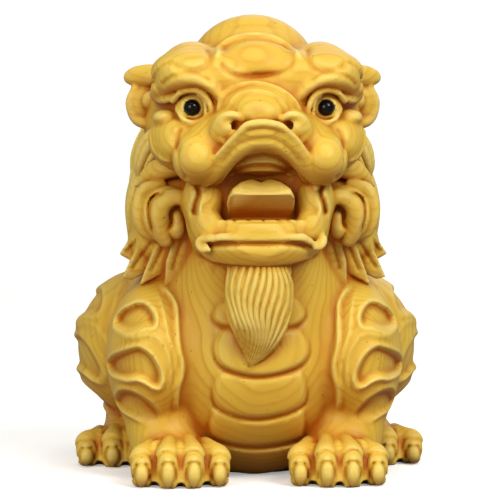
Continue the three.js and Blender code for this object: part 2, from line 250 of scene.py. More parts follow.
    def lay(self, points, soft, lift, side=1):
        """A round line drawn on the front as x, z and radius, laid on the wood's skin."""
        rows = smooth([(side * x, z, r) for x, z, r in points], 3)
        laid = [(x, self.meet(x, z) - lift, z, r) for x, z, r in rows]
        self.strand(laid, soft)

    def near_skin(self, low, high):
        """The grid between two corners, which of its points lie near the skin, and where those are."""
        part, axes = self.window(low, high)
        view = self.field[part]
        near = np.nonzero(np.abs(view) < BAND)
        return view, near, [axis.ravel()[spots] for axis, spots in zip(axes, near)]

    def relief(self, points, shape, depths, side=1):
        """Works a line, drawn on the front in x and z, into the skin between two depths in y."""
        line = smooth(points) * (side, 1)
        if side < 0:
            line = line[::-1]
        low, high = line.min(0) - MARGIN, line.max(0) + MARGIN
        view, near, (x, _, z) = self.near_skin((low[0], depths[0], low[1]), (high[0], depths[1], high[1]))
        view[near] += shape(*measure(x, z, line))

    def wrapped(self, at, half, side, work):
        """Works relief into one egg's skin, in millimetres round from straight ahead and up."""
        at = np.array(at, float) * (side, 1, 1)
        half = np.array(half, float)
        view, near, (x, y, z) = self.near_skin(at - half - 2, at + half + 2)
        x, y, z = x - at[0], y - at[1], z - at[2]
        share = np.sqrt((x / half[0]) ** 2 + (y / half[1]) ** 2 + (z / half[2]) ** 2)
        slope = np.sqrt((x / half[0] ** 2) ** 2 + (y / half[1] ** 2) ** 2 + (z / half[2] ** 2) ** 2)
        on_skin = ease(WRAP_REACH - np.abs(share * (share - 1) / slope))
        round_by = WRAP * np.arctan2(side * x / half[0], -y / half[1])
        view[near] += work(round_by, z + at[2]) * on_skin

    def sample(self, values, places):
        """Values of a grid of the block's size at places in millimetres, read between grid points."""
        spot = (places - self.low) / self.step
        base = np.clip(spot.astype(int), 0, np.array(values.shape) - 2)
        share = spot - base
        total = 0
        for corner in np.ndindex(2, 2, 2):
            weight = np.prod(np.where(corner, share, 1 - share), axis=1)
            total = total + weight * values[tuple((base + corner).T)]
        return total

    def skin(self):
        """Corners and four-sided faces of the surface, in millimetres, with the faces outwards."""
        field, wood = self.field, self.field < 0
        corners = list(np.ndindex(2, 2, 2))
        size = [n - 1 for n in field.shape]

        def shifted(values, corner):
            return values[tuple(slice(c, c + n) for c, n in zip(corner, size))]

        count = sum(shifted(wood, corner).astype(np.int8) for corner in corners)
        cells = np.argwhere((count > 0) & (count < 8))
        number = np.full(size, -1, np.int32)
        number[tuple(cells.T)] = np.arange(len(cells))
        value = {corner: field[tuple((cells + corner).T)] for corner in corners}
        total = np.zeros((len(cells), 3), np.float32)
        hits = np.zeros(len(cells), np.float32)
        for a in corners:
            for axis in range(3):
                if a[axis]:
                    continue
                b = tuple(c + (i == axis) for i, c in enumerate(a))
                crossed = (value[a] < 0) != (value[b] < 0)
                share = np.where(crossed, value[a] / np.where(crossed, value[a] - value[b], 1), 0)
                spot = np.array(a, np.float32) + share[:, None] * np.eye(3, dtype=np.float32)[axis]
                total += spot * crossed[:, None]
                hits += crossed
        points = self.low + self.step * (cells + total / hits[:, None])
        faces = []
        for axis in range(3):
            u, v = (axis + 1) % 3, (axis + 2) % 3
            first = [slice(1, -1)] * 3
            first[axis] = slice(0, -1)
            second = list(first)
            second[axis] = slice(1, None)
            here, there = wood[tuple(first)], wood[tuple(second)]
            start = np.array([1, 1, 1])
            start[axis] = 0
            for leaving in (True, False):
                edges = np.argwhere(here & ~there if leaving else ~here & there) + start
                quad = []
                for du, dv in ((0, 0), (1, 0), (1, 1), (0, 1)):
                    cell = edges.copy()
                    cell[:, u] -= 1 - du
                    cell[:, v] -= 1 - dv
                    quad.append(number[tuple(cell.T)])
                quad = np.stack(quad, axis=1)
                faces.append(quad if leaving else quad[:, ::-1])
        return points, np.concatenate(faces)


def spread(values, reach):
    """The mean of a grid over a cube that reaches some cells each way."""
    for axis in range(3):
        pad = [(0, 0)] * 3
        pad[axis] = (reach + 1, reach)
        total = np.cumsum(np.pad(values, pad, mode="edge"), axis=axis, dtype=np.float32)
        ahead = np.take(total, range(2 * reach + 1, total.shape[axis]), axis=axis)
        behind = np.take(total, range(0, total.shape[axis] - 2 * reach - 1), axis=axis)
        values = (ahead - behind) / (2 * reach + 1)
    return values


# Trunk, in millimetres

Egg = namedtuple("Egg", "at half soft turn", defaults=(0.8, (0, 0, 0)))

TRUNK = [
    Egg((0, 2, 23), (25.3, 31.3, 25.8), 1),
    Egg((0, -5, 35), (19.2, 23.2, 13.2), 5),
    Egg((0, 15.5, 29), (23, 23.2, 16.6), 5),
    Egg((0, -17.5, 41), (12, 14.5, 9), 4),
]
PLATES = (
    (
        (-6.6, 28.4), (-8.3, 30.6), (-6.2, 33.4), (0, 34.2), (6.4, 33.8), (8.6, 31), (6.8, 28.4), (0, 27.4),
    ),
    (
        (-5.3, 28.9), (-7.3, 27.3), (-8.2, 25.2), (-7.9, 22.8), (-6.6, 21.1), (-3.5, 19.8), (0, 19.3),
        (3.8, 19.8), (7.2, 21), (8.9, 22.6), (9.3, 25), (8.2, 27.3), (5.8, 28.7), (0, 29.5),
    ),
    (
        (-7.7, 19.6), (-6.6, 20.5), (0, 19.6), (7.3, 20.5), (8.4, 19.5), (8.9, 16.6), (8.3, 14), (5.4, 12.3),
        (0, 11.3), (-4.8, 12.1), (-7.6, 13.9), (-8.4, 16.8),
    ),
    (
        (-8.6, 12), (-7.7, 13.7), (0, 12), (7.8, 13.6), (8.7, 12), (8.8, 9.4), (8.2, 7.3), (5.4, 6.3),
        (0, 5.7), (-5, 6.3), (-8, 7.5), (-8.9, 9.6),
    ),
    (
        (-8.2, 5.6), (-7.4, 6.8), (0, 6), (7.4, 6.8), (8.2, 5.6), (8.3, 3), (7.5, 1), (4, -0.2), (0, -0.8),
        (-4, -0.2), (-7.5, 1), (-8.4, 3.2),
    ),
)
PLATE_ROOM = ((-12, -36, -1), (12, -14, 38))
PLATE_ROUND = 0.6
PLATE_FALL = 0.45  # the share of its step that a plate loses by its top
PLATE_CREASE = 0.35
PLATE_LINE = (0.15, 0.3)  # how far outside a plate its crease runs, and how wide it is
PLATE_FADE = (1.6, 2.2)


def carve_trunk(block):
    """The trunk, with belly plates that each stand proud of the next at the foot."""
    for form in TRUNK:
        block.egg(*form)
    view, near, (x, _, z) = block.near_skin(*PLATE_ROOM)
    raised = np.zeros(x.shape, np.float32)
    crease = np.zeros(x.shape, np.float32)
    for points in PLATES:
        outline = ring(points)
        foot, top = outline[:, 1].min(), outline[:, 1].max()
        gap, _ = measure(x, z, outline, True)
        share = np.clip((z - foot) / (top - foot), 0, 1)
        cushion = 1 - np.exp(-((np.minimum(gap, 0) / PLATE_ROUND) ** 2))
        raised = np.maximum(raised, cushion * block.sizes.plate_step * (1 - PLATE_FALL * share))
        line = np.exp(-(((gap - PLATE_LINE[0]) / PLATE_LINE[1]) ** 2))
        line = line * ease(PLATE_FADE[0] - PLATE_FADE[1] * share)
        crease = np.maximum(crease, line)
    view[near] += PLATE_CREASE * crease - raised


# Legs, in millimetres: panels are drawn in millimetres round from straight ahead, and up
SHOULDER = Egg((18.4, -13, 22), (8.9, 15.5, 14), 2.6)
HAUNCH = Egg((19.8, 13, 21.9), (13.5, 19.5, 14.6), 2.0)
PANELS = (
    (
        (15.4, 29.4), (13.2, 31), (10.4, 31.8), (8.2, 32.4), (5.2, 32.6), (2.7, 32.1), (0.9, 31),
        (0.2, 29.7), (0.9, 28.5), (3.1, 28.4), (5, 28), (6.7, 27.6), (8.9, 27.3), (12.2, 27.5), (14.4, 28),
    ),
    (
        (16.4, 21), (13.6, 22.6), (10.4, 23.6), (7.4, 24.4), (4.7, 24.9), (2.5, 24.3), (0.7, 23.1),
        (-0.6, 21.4), (-1.3, 19.8), (-1.1, 18.4), (-0.1, 17.7), (1.3, 17.9), (3.1, 18.8), (5.3, 19.2),
        (8.3, 18.9), (11.3, 18.9), (14.6, 19.4),
    ),
    (
        (15.6, 14.2), (13.2, 15.6), (10.6, 16.6), (7.5, 16.8), (5, 16.3), (2.7, 15.4), (0.8, 14.2),
        (-0.8, 12.8), (-1.2, 11.6), (0.3, 10.5), (4.2, 10.9), (8.5, 11.8), (11.9, 12.4), (14.8, 13),
    ),
)
PANEL_LIPS = (
    (
        (12.4, 19.1), (8.1, 18.4), (5.2, 18.7), (2.8, 18.3), (0.7, 17.3), (-1.1, 17.2), (-1.9, 18.8),
        (-1.6, 20.2),
    ),
    ((15.7, 13.2), (11.6, 12.1), (7.5, 11.2), (3.8, 10.2), (0.2, 9.6), (-1.8, 10.6), (-1.9, 12.2)),
    ((13, 26.7), (8.9, 26.6), (6.2, 27), (3.2, 27.8), (0.6, 28), (-0.5, 29.4), (0.1, 31.2), (2.2, 32.8)),
)
LEG_FLOWS = (
    (
        (12, 25.6), (8.4, 26.1), (5.4, 26.5), (2.7, 27), (0.4, 26.8), (-1.4, 25.6), (-2.7, 23.8),
        (-3.4, 21.5), (-3.4, 18.9), (-3.2, 16.6), (-3.2, 14.1),
    ),
    (
        (2, 34.6), (-1.2, 33.6), (-2.3, 31.6), (-2.7, 29.2), (-3.1, 26.8), (-4.2, 24.3), (-5, 21.5),
        (-5.1, 18.8), (-4.4, 16.6), (-4.2, 13.8),
    ),
)
LEG_EDGE = (
    (-1.5, 35.4), (-5, 34.4), (-6.3, 32.4), (-6, 29.8), (-5.6, 26.8), (-5.7, 24.4), (-6.4, 21.7),
    (-6.3, 19.2), (-5.6, 16.6), (-6, 14), (-7.6, 12.4),
)
HAUNCH_DRAWING = {"shift": (9.8, -0.8), "grow": 1.15, "strength": 0.65}


def carve_leg(block, form, side, shift=(0, 0), grow=1.0, strength=1.0):
    """An upper leg with the shoulder's panels, moved, grown and weakened to suit."""
    block.egg(*form, side=side)
    middle = form.at[2] + shift[1]
    scoop = hollow(block.sizes.scoop_depth, slope=0.7, rim=0.22, rim_width=0.4)
    lines = [(points, groove(-0.42, width=0.4, taper=0.2)) for points in PANEL_LIPS]
    lines += [(points, groove(-0.38, width=0.48, taper=0.2)) for points in LEG_FLOWS]
    lines.append((LEG_EDGE, groove(-0.7, width=0.65, taper=0.12)))

    def drawn(points):
        return np.array([(shift[0] + grow * u, middle + grow * (z - SHOULDER.at[2])) for u, z in points])

    def work(u, z):
        change = np.zeros(u.shape, np.float32)
        for points in PANELS:
            change += scoop(*measure(u, z, ring(drawn(points)), True))
        for points, shape in lines:
            change += shape(*measure(u, z, smooth(drawn(points))))
        return strength * change

    block.wrapped(form.at, form.half, side, work)


TOE_PITCH = 4.4
TOES = (-1.5, -0.5, 0.5, 1.5)
Paw = namedtuple("Paw", "at reach tall splay")
FORE_PAW = Paw((14.2, -24.4), 10.8, 7.4, 0.06)
HIND_PAW = Paw((23.6, 5.4), 9.4, 6.2, 0.115)
SHIN = ((17.5, -15, 16, 7.5), (16.8, -18, 8, 6.6), (15.3, -20.5, 3, 6.6))
HOCK = ((20.5, 17, 13, 6.4), (21.4, 14.5, 6, 6), (23, 8, 3, 5.8))

# Toes: rows of how far behind the tip a point lies, how high it is, and its radius

PALM_AHEAD = 0.1
PALM_HEIGHT = 1.2
PALM = (8.2, 0.82, 0.86)  # half its width, then shares of the paw's reach and height
TOE_ROOT = 0.72
TOE_FALL = 0.085  # how far the outer toes hang back
TOE_SINK = 0.05  # how much lower the outer toes are
INSTEP = ((2.5, 1.02, 1.3),)
KNUCKLE = ((-2.4, 0.95, 1.5),)
TOE = ((3.9, 0.78, 2.1), (2.4, 0.5, 2.2))
TOE_PAD = ((2.7, 1.7, 1.9),)
CLAW_TIP = ((0.5, 0.3, 0.3), (0.3, 1.3, 0.85))
CLAW = ((0.3, 0.36, 1.3), (0.7, 0.54, 1.25), (1.3, 0.7, 0.8), (2.1, 0.8, 0.3))
TENDON_SPREAD = 0.8
TENDON_ROOT = ((-1, 0.92, 1.1),)
TENDON = ((5, 0.96, 0.8), (3.6, 0.76, 0.9), (3, 0.45, 0.5))
TOE_GAP = ((-2, 0, 0.85), (1.5, 0.2, 0.9), (4, 0, 0.3))
SHEATHS = ((1.4, 0.66, 0.5), (2.05, 0.9, 0.4))
SHEATH_ARCH = ((-1, 0.62), (-0.7, 0.9), (0, 1), (0.7, 0.9), (1, 0.62))
SHEATH_FOOT = 0.6
SHEATH_DEPTHS = (-2, 5)


def along_toe(spot, front, rows, tall=1):
    """Points of a toe, with heights in shares of how tall it is, or else in millimetres."""
    return [(spot, front + behind, tall * share, radius) for behind, share, radius in rows]


def carve_paw(block, paw, side):
    """A paw with four toes, their claws and sheaths, and the tendons and gaps between them."""
    x, y = paw.at
    wide, deep, tall = PALM
    palm = (x, y - PALM_AHEAD * paw.reach, PALM_HEIGHT)
    block.egg(palm, (wide, paw.reach * deep, paw.tall * tall), soft=1.5, side=side)
    places = []
    for n in TOES:
        spot = x + n * TOE_PITCH * (1 + paw.splay)
        places.append((spot, y - paw.reach * (1 - TOE_FALL * n * n), paw.tall * (1 - TOE_SINK * n * n)))
    for (spot, front, tall), n in zip(places, TOES):
        root = x + TOE_ROOT * n * TOE_PITCH
        toe = along_toe(root, y, INSTEP, tall) + along_toe((root + spot) / 2, y, KNUCKLE, tall)
        toe += along_toe(spot, front, TOE, tall) + along_toe(spot, front, TOE_PAD)
        block.strand(toe, soft=0.35, side=side)
    for spot, front, tall in places:
        claw = along_toe(spot, front, CLAW_TIP) + along_toe(spot, front, CLAW, tall)
        block.strand(claw, soft=0.12, side=side)
        for wide, share, depth in SHEATHS:
            arch = [(spot + wide * across, tall * share * high) for across, high in SHEATH_ARCH]
            arch = [(spot - wide, SHEATH_FOOT), *arch, (spot + wide, SHEATH_FOOT)]
            depths = (front + SHEATH_DEPTHS[0], front + SHEATH_DEPTHS[1])
            block.relief(arch, groove(depth, width=0.27, taper=0.08), depths, side=side)
    for (left, front, tall), (right, other, _) in zip(places, places[1:]):
        middle, front = (left + right) / 2, max(front, other)
        tendon = along_toe(x + TENDON_SPREAD * (middle - x), y, TENDON_ROOT, tall)
        block.strand(tendon + along_toe(middle, front, TENDON, tall), soft=0.35, side=side)
        block.strand(along_toe(middle, front, TOE_GAP), soft=0.3, side=side, cut=True)


def carve_legs(block):
    """Four legs with their paws, the hind ones as weaker copies of the shoulders' drawing."""
    for side in SIDES:
        carve_leg(block, SHOULDER, side)
        carve_leg(block, HAUNCH, side, **HAUNCH_DRAWING)
        block.strand(SHIN, soft=1.5, side=side)
        block.strand(HOCK, soft=1.5, side=side)
        carve_paw(block, FORE_PAW, side)
        carve_paw(block, HIND_PAW, side)


# Head, in millimetres

SKULL = [
    Egg((0, 1, 55), (19.3, 16.3, 19.8), 1),
    Egg((0, -9, 64.5), (20.2, 19.6, 14.6), 3),
    Egg((0, -18.5, 70), (18.6, 13.6, 8.4), 3),
    Egg((0, -25, 60.5), (13.6, 13.4, 10.4), 2),
    Egg((0, -17, 51), (13.4, 13.4, 12.4), 2),
    Egg((0, -7.5, 73.6), (12.2, 12.8, 11.4), 2.5),
]
BRIDGE = Egg((-0.2, -30.8, 67.4), (7.4, 6, 4.7), 1.8)
BROW = (
    (7.6, -32.2, 70.2, 0.5), (8.5, -32.4, 71.2, 0.75), (9.9, -32.4, 72.2, 0.95), (11.5, -32.1, 72.8, 1.15),
    (13.2, -31.2, 72.9, 1.3), (14.9, -29.7, 72.6, 1.4), (16.5, -27.4, 72, 1.5), (17.6, -24.6, 71.2, 1.4),
    (18.2, -21.5, 70.2, 1.1),
)
SOCKET = Egg((12.5, -34.8, 68.6), (4.1, 5.2, 3.3), 0.6)
EYEBALL = Egg((11.9, -27.4, 67.7), (3.1, 3.0, 2.8), 0.5)
UPPER_LID = (
    (15.5, -28.4, 68.6, 0.35), (14.4, -29.8, 70.2, 0.5), (12.6, -30.7, 70.9, 0.55),
    (10.9, -31.2, 70.7, 0.55), (9.5, -31.4, 69.6, 0.55), (8.8, -31.5, 68.1, 0.5), (8.6, -31.4, 66.2, 0.4),
)
INNER_LID = ((11, -30.9, 70, 0.3), (10.1, -31, 69.3, 0.35), (9.7, -31, 68.1, 0.35), (9.7, -31, 66.2, 0.3))
LOWER_LID = (
    (9.2, -31.1, 66.3, 0.3), (10.3, -31, 65.5, 0.4), (12.1, -30.7, 65.2, 0.42), (13.8, -29.8, 65.9, 0.4),
    (14.8, -28.6, 67.6, 0.25),
)
LID_FOLD = (
    (17.9, -23.4, 69.3, 0.6), (16.9, -25.8, 69.1, 0.7), (15.6, -27.8, 69.4, 0.55), (14.8, -28.9, 69.8, 0.3),
)
EYE_CORNER = Egg((16.2, -28.4, 68.2), (0.9, 1.6, 0.5), 0.2)
BROW_RIM = ((-8.2, 71.8), (-10.4, 73.5), (-12.7, 74), (-14.8, 73.6), (-16.6, 72.6), (-17.6, 71.2))
BROW_LINE = ((-17, 70.2), (-18.2, 71.2), (-18.5, 73), (-17.9, 74.6), (-16.7, 75.6), (-15.2, 76.1))
CHEEK_LINE = ((-13.6, 64.6), (-14.7, 62.6), (-14.6, 59.8), (-13.9, 56.8), (-12.8, 54.8))
TEMPLE = Egg((11.6, -18, 76), (4.6, 7.6, 3.8), 1.6)
BROW_MASS = Egg((12, -23.4, 74.2), (7.2, 8.8, 4.2), 2.4)
MUZZLE = Egg((8.8, -30, 61.6), (6.2, 6.4, 4.2), 1.4, (0, 34, 0))
BROW_ROOT = Egg((6.2, -27.4, 73.4), (5, 4.8, 4), 2.4)
CHEEK_FILL = Egg((13.6, -25.4, 61.4), (5.2, 6.4, 5.2), 1.6)
TEMPLE_LINE = ((-9.6, 78.9), (-8.8, 76.8), (-9.6, 75), (-11.7, 74.4), (-14.3, 74.9), (-15.6, 76.3))
FOREHEAD = Egg((-0.1, -27.4, 76.4), (6.2, 2.7, 4.2), 0.8, (-52, 0, 0))
FOREHEAD_LINE = (
    (-7, 76.6), (-6.4, 75), (-5, 73.8), (-2.6, 73.4), (0.3, 73.5), (3.4, 74), (5.4, 75.2), (6.2, 76.8),
)
FOREHEAD_RIM = (
    (-7.4, 76.9, 0.5), (-6.6, 78.6, 0.6), (-3.9, 80.3, 0.65), (-0.3, 80.9, 0.65), (3.2, 80.4, 0.65),
    (5.9, 78.8, 0.6), (7.1, 76.6, 0.5),
)
CREST_FOLD = ((-8, 80.2), (-5.9, 81.8), (-3.1, 82.6), (0, 82.9), (3.1, 82.6), (5.9, 81.7), (8, 80.1))
BRIDGE_RIM = (
    (-7.5, 67.6, 0.35), (-6.9, 69.6, 0.4), (-5.4, 71, 0.45), (-3.3, 71.9, 0.45), (-0.7, 72.2, 0.45),
    (2.1, 71.6, 0.45), (4.3, 70.5, 0.45), (5.9, 69.2, 0.4), (7, 67.6, 0.35),
)
BRIDGE_INNER = (
    (-5.7, 67.9, 0.3), (-4.9, 69.4, 0.32), (-3.1, 70.4, 0.34), (-0.8, 70.8, 0.34), (1.4, 70.4, 0.34),
    (3.2, 69.4, 0.32), (4.4, 67.9, 0.3),
)
CHEEK = Egg((11.3, -32.4, 58.7), (4.3, 6.3, 4.6), 0.6)
LOBE = Egg((16.2, -23.2, 62), (3.5, 4.9, 4.4), 0.9)
LOBE_RIM = ((19.3, 63.6, 0.3), (19.2, 61.6, 0.35), (18.5, 59.9, 0.4), (17.1, 58.6, 0.4), (16, 58.3, 0.3))
CHEEKBONE = Egg((16.6, -25.4, 66), (2.3, 2.6, 1.5), 0.7)
JAW = Egg((10.4, -24.5, 50.5), (2.6, 8.8, 9.2), 1.0)
EAR_LEAF = ((14.5, -13, 73.3, 2.3), (18.5, -11, 73.7, 2.1), (21.2, -9.2, 73.5, 2.0), (22.6, -8.5, 73.4, 1.4))
EAR_CURL = (
    (21.7, -9.6, 71.2, 0.9), (22.6, -9.8, 69, 0.95), (22.4, -10, 67, 0.95), (21.5, -10.5, 65.5, 1),
    (20, -11.4, 64.9, 1.1), (18.4, -12.4, 65.2, 1.2),
)
EAR_FILL = Egg((19.6, -10.2, 68.4), (2.9, 1.4, 3.4), 0.5)
EAR_BALL = Egg((19, -12, 69), (1.6, 1.7, 1.8), 0.25)

# Lids with how soft each seam is, and cut lines with each cut and the depths that it lies between

EYELIDS = ((UPPER_LID, 0.4), (INNER_LID, 0.3), (LOWER_LID, 0.6), (LID_FOLD, 0.8))
FACE_LINES = (
    (BROW_RIM, groove(0.35, width=0.4), (-36, -16)), (BROW_LINE, groove(0.4, width=0.32), (-34, -12)),
    (TEMPLE_LINE, groove(0.45, width=0.6), (-34, -12)), (CHEEK_LINE, groove(0.45, width=0.45), (-36, -18)),
)


def carve_head(block):
    """Skull, brow, eyes, cheeks, forehead, nose bridge and ears."""
    for form in SKULL:
        block.egg(*form)
    block.egg(*BRIDGE)
    for side in SIDES:
        for form in (TEMPLE, BROW_MASS, BROW_ROOT, JAW, CHEEK_FILL, MUZZLE, LOBE):
            block.egg(*form, side=side)
        block.strand(BROW, soft=1.8, side=side)
        block.egg(*SOCKET, side=side, cut=True)
        block.egg(*EYEBALL, side=side)
        for lid, soft in EYELIDS:
            block.strand(lid, soft, side=side)
        block.egg(*CHEEKBONE, side=side)
        block.egg(*EYE_CORNER, side=side, cut=True)
        block.egg(*CHEEK, side=side)
        block.lay(LOBE_RIM, soft=0.2, lift=0.05, side=side)
        block.strand(EAR_LEAF, soft=0.6, flat=0.75, side=side)
        block.egg(*EAR_FILL, side=side)
        block.strand(EAR_CURL, soft=0.3, side=side)
        block.egg(*EAR_BALL, side=side)
        for line, cut, depths in FACE_LINES:
            block.relief(line, cut, depths, side=-side)
    block.egg(*FOREHEAD)
    block.relief(FOREHEAD_LINE, groove(0.5, width=0.5), depths=(-36, -20))
    block.lay(FOREHEAD_RIM, soft=0.7, lift=0.1)
    block.relief(CREST_FOLD, groove(0.35, width=0.7, taper=0.35), depths=(-24, -6))
    block.lay(BRIDGE_RIM, soft=0.35, lift=0.05)
    block.lay(BRIDGE_INNER, soft=0.35, lift=0.0)


# Nose and mouth, in millimetres

LIP = (
    (-10, -33.5, 54.7, 1.1), (-8.7, -34.9, 55.9, 1.5), (-7.2, -36.3, 57.8, 1.7), (-5.6, -37.5, 59.6, 1.9),
    (-3.9, -38.3, 61.2, 2.3), (-2, -38.8, 62.5, 2.6), (0.1, -39, 62.9, 2.75), (2.2, -38.8, 62.5, 2.6),
    (4.2, -38.3, 61.3, 2.3), (6.2, -37.5, 59.6, 1.9), (7.9, -36.3, 57.6, 1.7), (9.4, -34.9, 55.8, 1.5),
    (11.1, -33.5, 54.8, 1.1),
)
LIP_RIDGE = (
    (-11.6, -32.6, 54.7, 0.4), (-10.3, -34.9, 55.7, 0.5),
    (-9.3, -36, 57, 0.5), (-8.5, -37, 58.5, 0.5), (-7.1, -38.3, 60.2, 0.52), (-5.7, -39.3, 61.8, 0.56),
    (-4.2, -40.1, 63.3, 0.65), (-2.9, -40.6, 64.6, 0.75), (-1.4, -40.9, 65, 0.8), (0.1, -40.9, 65.1, 0.8),
    (1.7, -40.9, 64.9, 0.8), (3.1, -40.6, 64.5, 0.75), (4.4, -40.1, 63.5, 0.65), (6.2, -39.2, 61.9, 0.56),
    (8.1, -37.7, 59.2, 0.52), (9.4, -36.2, 57.4, 0.5), (10.8, -34.9, 55.9, 0.5), (12, -32.8, 54.9, 0.4),
)
LIP_GROOVE = (
    (-8.2, 56.6), (-6.4, 59), (-4.7, 61), (-2.8, 62), (-0.1, 62.4), (2.2, 62.2), (4.1, 61.1), (6, 59.2),
    (8.1, 56.7),
)
NOSE = Egg((-0.4, -35.6, 66.8), (4.3, 3.6, 2.6), 1.2)
NOSE_WING = Egg((6, -34.9, 64.4), (2.9, 3.4, 2.8), 1.2)
NOSE_CURL = (
    (3.6, -37.6, 65.8, 0.55), (4.9, -37.9, 66.5, 0.75), (6.4, -37.6, 66.3, 0.8), (7.5, -36.9, 65.4, 0.8),
    (8, -36.4, 64.1, 0.75), (7.7, -36.4, 62.8, 0.65), (6.8, -36.8, 62, 0.5),
)
NOSTRIL = ((3.9, -38.6, 64.9, 0.4), (4.8, -37.4, 64.7, 0.85), (6, -36.6, 64.5, 0.95), (7, -36.4, 64.5, 0.5))
MOUTH = (
    (-10.4, 47.7), (10.4, 47.7), (10.4, 52.6), (9.3, 53.7), (7.7, 54.5), (6.4, 56.5), (4.8, 58.2), (3, 59.5),
    (0.1, 60), (-2.7, 59.5), (-4.4, 58.1), (-5.8, 56.3), (-7, 54.4), (-8.6, 53.6), (-10.4, 52.6),
)
MOUTH_AHEAD = -50
MOUTH_BACK = -29.4
PALATE = Egg((0.2, -26.5, 61.5), (8.8, 9.2, 6.4), 0.3)
PALATE_RIDGES = (
    ((-4.7, 57.2, 0.35), (-2, 58.2, 0.42), (0.2, 58.4, 0.42), (2.4, 58.2, 0.42), (5.1, 57.2, 0.35)),
    ((-5.2, 55.8, 0.35), (-2.4, 56.7, 0.42), (0.3, 56.9, 0.42), (2.8, 56.7, 0.42), (5.6, 55.8, 0.35)),
)
TONGUE = (
    (-4.8, 47.8), (-5.6, 48.9), (-5.9, 50.6), (-5.7, 52), (-5, 53.4), (-3.4, 54.6), (-1.4, 55.2),
    (0.2, 54.5), (1.8, 55.2), (3.7, 54.6), (5.2, 53.5), (5.9, 52.1), (6.1, 50.6), (5.8, 48.9), (5, 47.8),
)
TONGUE_FRONT = -36.2
TONGUE_BACK = -25
TONGUE_EDGE = 52.5
TONGUE_SLOPE = 0.62
TONGUE_UNDERCUT = 1.4
TONGUE_ARCH = -0.02
GUM_END = Egg((9, -31.2, 46.6), (2.6, 2.8, 3), 1.0)
INNER_CHEEK = Egg((9.9, -26.8, 51), (3.8, 5.7, 5.4), 0.6)
MOUTH_FOLD = ((11.2, 54.2), (10.9, 52.6), (11.4, 50.6), (11.8, 48.4))
JAW_LIP = (
    (-8.4, -34.9, 44.5, 0.65), (-7, -35.5, 44.9, 0.75), (-4.9, -36, 44.9, 0.8), (0, -36.4, 44.9, 0.8),
    (5, -36, 44.9, 0.8), (7.3, -35.5, 44.8, 0.75), (8.6, -34.9, 44.2, 0.65),
)
JAW_CURLS = {
    -1: (
        (7, -35.3, 45, 0.6), (8.4, -34.7, 44.7, 0.7), (9.8, -33.9, 44.6, 0.8), (10.7, -33.2, 43.9, 0.95),
        (10.2, -33.6, 42.9, 0.95), (9.4, -34.2, 42.9, 0.8),
    ),
    1: (
        (7.4, -35.3, 45, 0.6), (8.4, -34.8, 44.1, 0.7), (9.5, -34.2, 43.3, 0.85), (10.6, -33.4, 43.4, 0.9),
        (11.2, -32.9, 44.3, 0.8), (11, -32.7, 45.3, 0.5),
    ),
}
JAW_FOLDS = (
    (
        (11.6, -29.8, 54, 0.6), (11.9, -29.6, 52.3, 0.9), (11.6, -29.8, 49.6, 1.1), (11.2, -30.4, 46.9, 1.1),
        (10.6, -31.6, 44.6, 0.8),
    ),
    (
        (10.6, -30.9, 53.2, 0.5), (10, -31.2, 51.4, 0.7), (9.9, -31.5, 49.2, 0.8), (9.6, -32, 46.9, 0.8),
        (8.9, -33.2, 45.4, 0.6),
    ),
)
CHIN = (
    (-12, 44.8), (-11.3, 43.6), (-10.8, 42.3), (-9.9, 41.2), (-8.5, 40.4), (-5.5, 40), (0.2, 39.7),
    (5.1, 40), (9.1, 40.9), (10.6, 42.1), (11.8, 43.8), (12.2, 44.8), (10, 47.4), (-10, 47.4),
)
CHIN_FRONT = -36.6
CHIN_BACK = -14
CHIN_ROUND = Egg((0, -20, 44), (14, 17.2, 9.4))
CHIN_LINE = ((-9.4, 43.2), (-8.2, 43.5), (-5, 43.7), (0, 43.7), (5, 43.7), (8.2, 43.2), (9.4, 42.8))
TOOTH_EDGES = (-7.8, -6.2, -4.6, -2.1, 0.5, 3.1, 4.9, 6.4, 7.9)
TEETH_FRONT = -35
TEETH_BACK = -29
TEETH_FOOT = 44
TEETH_TOP = 47.9
TEETH_BOW = 0.02


def carve_mouth(block):
    """Nose, lip, jaw and the open mouth with its palate, cheeks, tongue and teeth."""
    block.egg(*NOSE)
    for side in SIDES:
        block.egg(*NOSE_WING, side=side)
    block.strand(LIP, soft=0.8, flat=0.8, face=(0, -1, -0.3))
    block.strand(LIP_RIDGE, soft=0.4)
    for side in SIDES:
        block.strand(NOSE_CURL, soft=0.7, side=side)
        block.strand(NOSTRIL, soft=0.25, side=side, cut=True)
    block.relief(LIP_GROOVE, groove(0.5, width=0.55), depths=(-44, -34))
    prism(block, CHIN, CHIN_FRONT, CHIN_BACK, round_by=0.5, soft=0.8, within=chin_faces)
    prism(block, MOUTH, MOUTH_AHEAD, MOUTH_BACK, round_by=0.4, soft=0.3, cut=True)
    block.egg(*PALATE)
    for ridge in PALATE_RIDGES:
        block.lay(ridge, soft=0.25, lift=0.15)
    for side in SIDES:
        for fold in JAW_FOLDS:
            block.strand(fold, soft=0.9, side=side)
        block.egg(*INNER_CHEEK, side=side)
        block.egg(*GUM_END, side=side)
        block.relief(MOUTH_FOLD, groove(1.1, width=0.5, taper=0.1), depths=(-40, -28), side=side)
        block.strand(JAW_CURLS[side], soft=0.5, flat=0.6, side=side)
    block.strand(JAW_LIP, soft=0.3, flat=0.55)
    block.relief(CHIN_LINE, groove(0.75, width=0.4, taper=0.05), depths=(-40, -32))
    prism(block, TONGUE, TONGUE_FRONT, TONGUE_BACK, round_by=0.9, soft=0.2, within=tongue_faces)
    for a, b in zip(TOOTH_EDGES, TOOTH_EDGES[1:]):
        front = TEETH_FRONT + TEETH_BOW * ((a + b) / 2) ** 2
        block.bar((a, front, TEETH_FOOT), (b, TEETH_BACK, TEETH_TOP), round_by=0.5, soft=0.2)


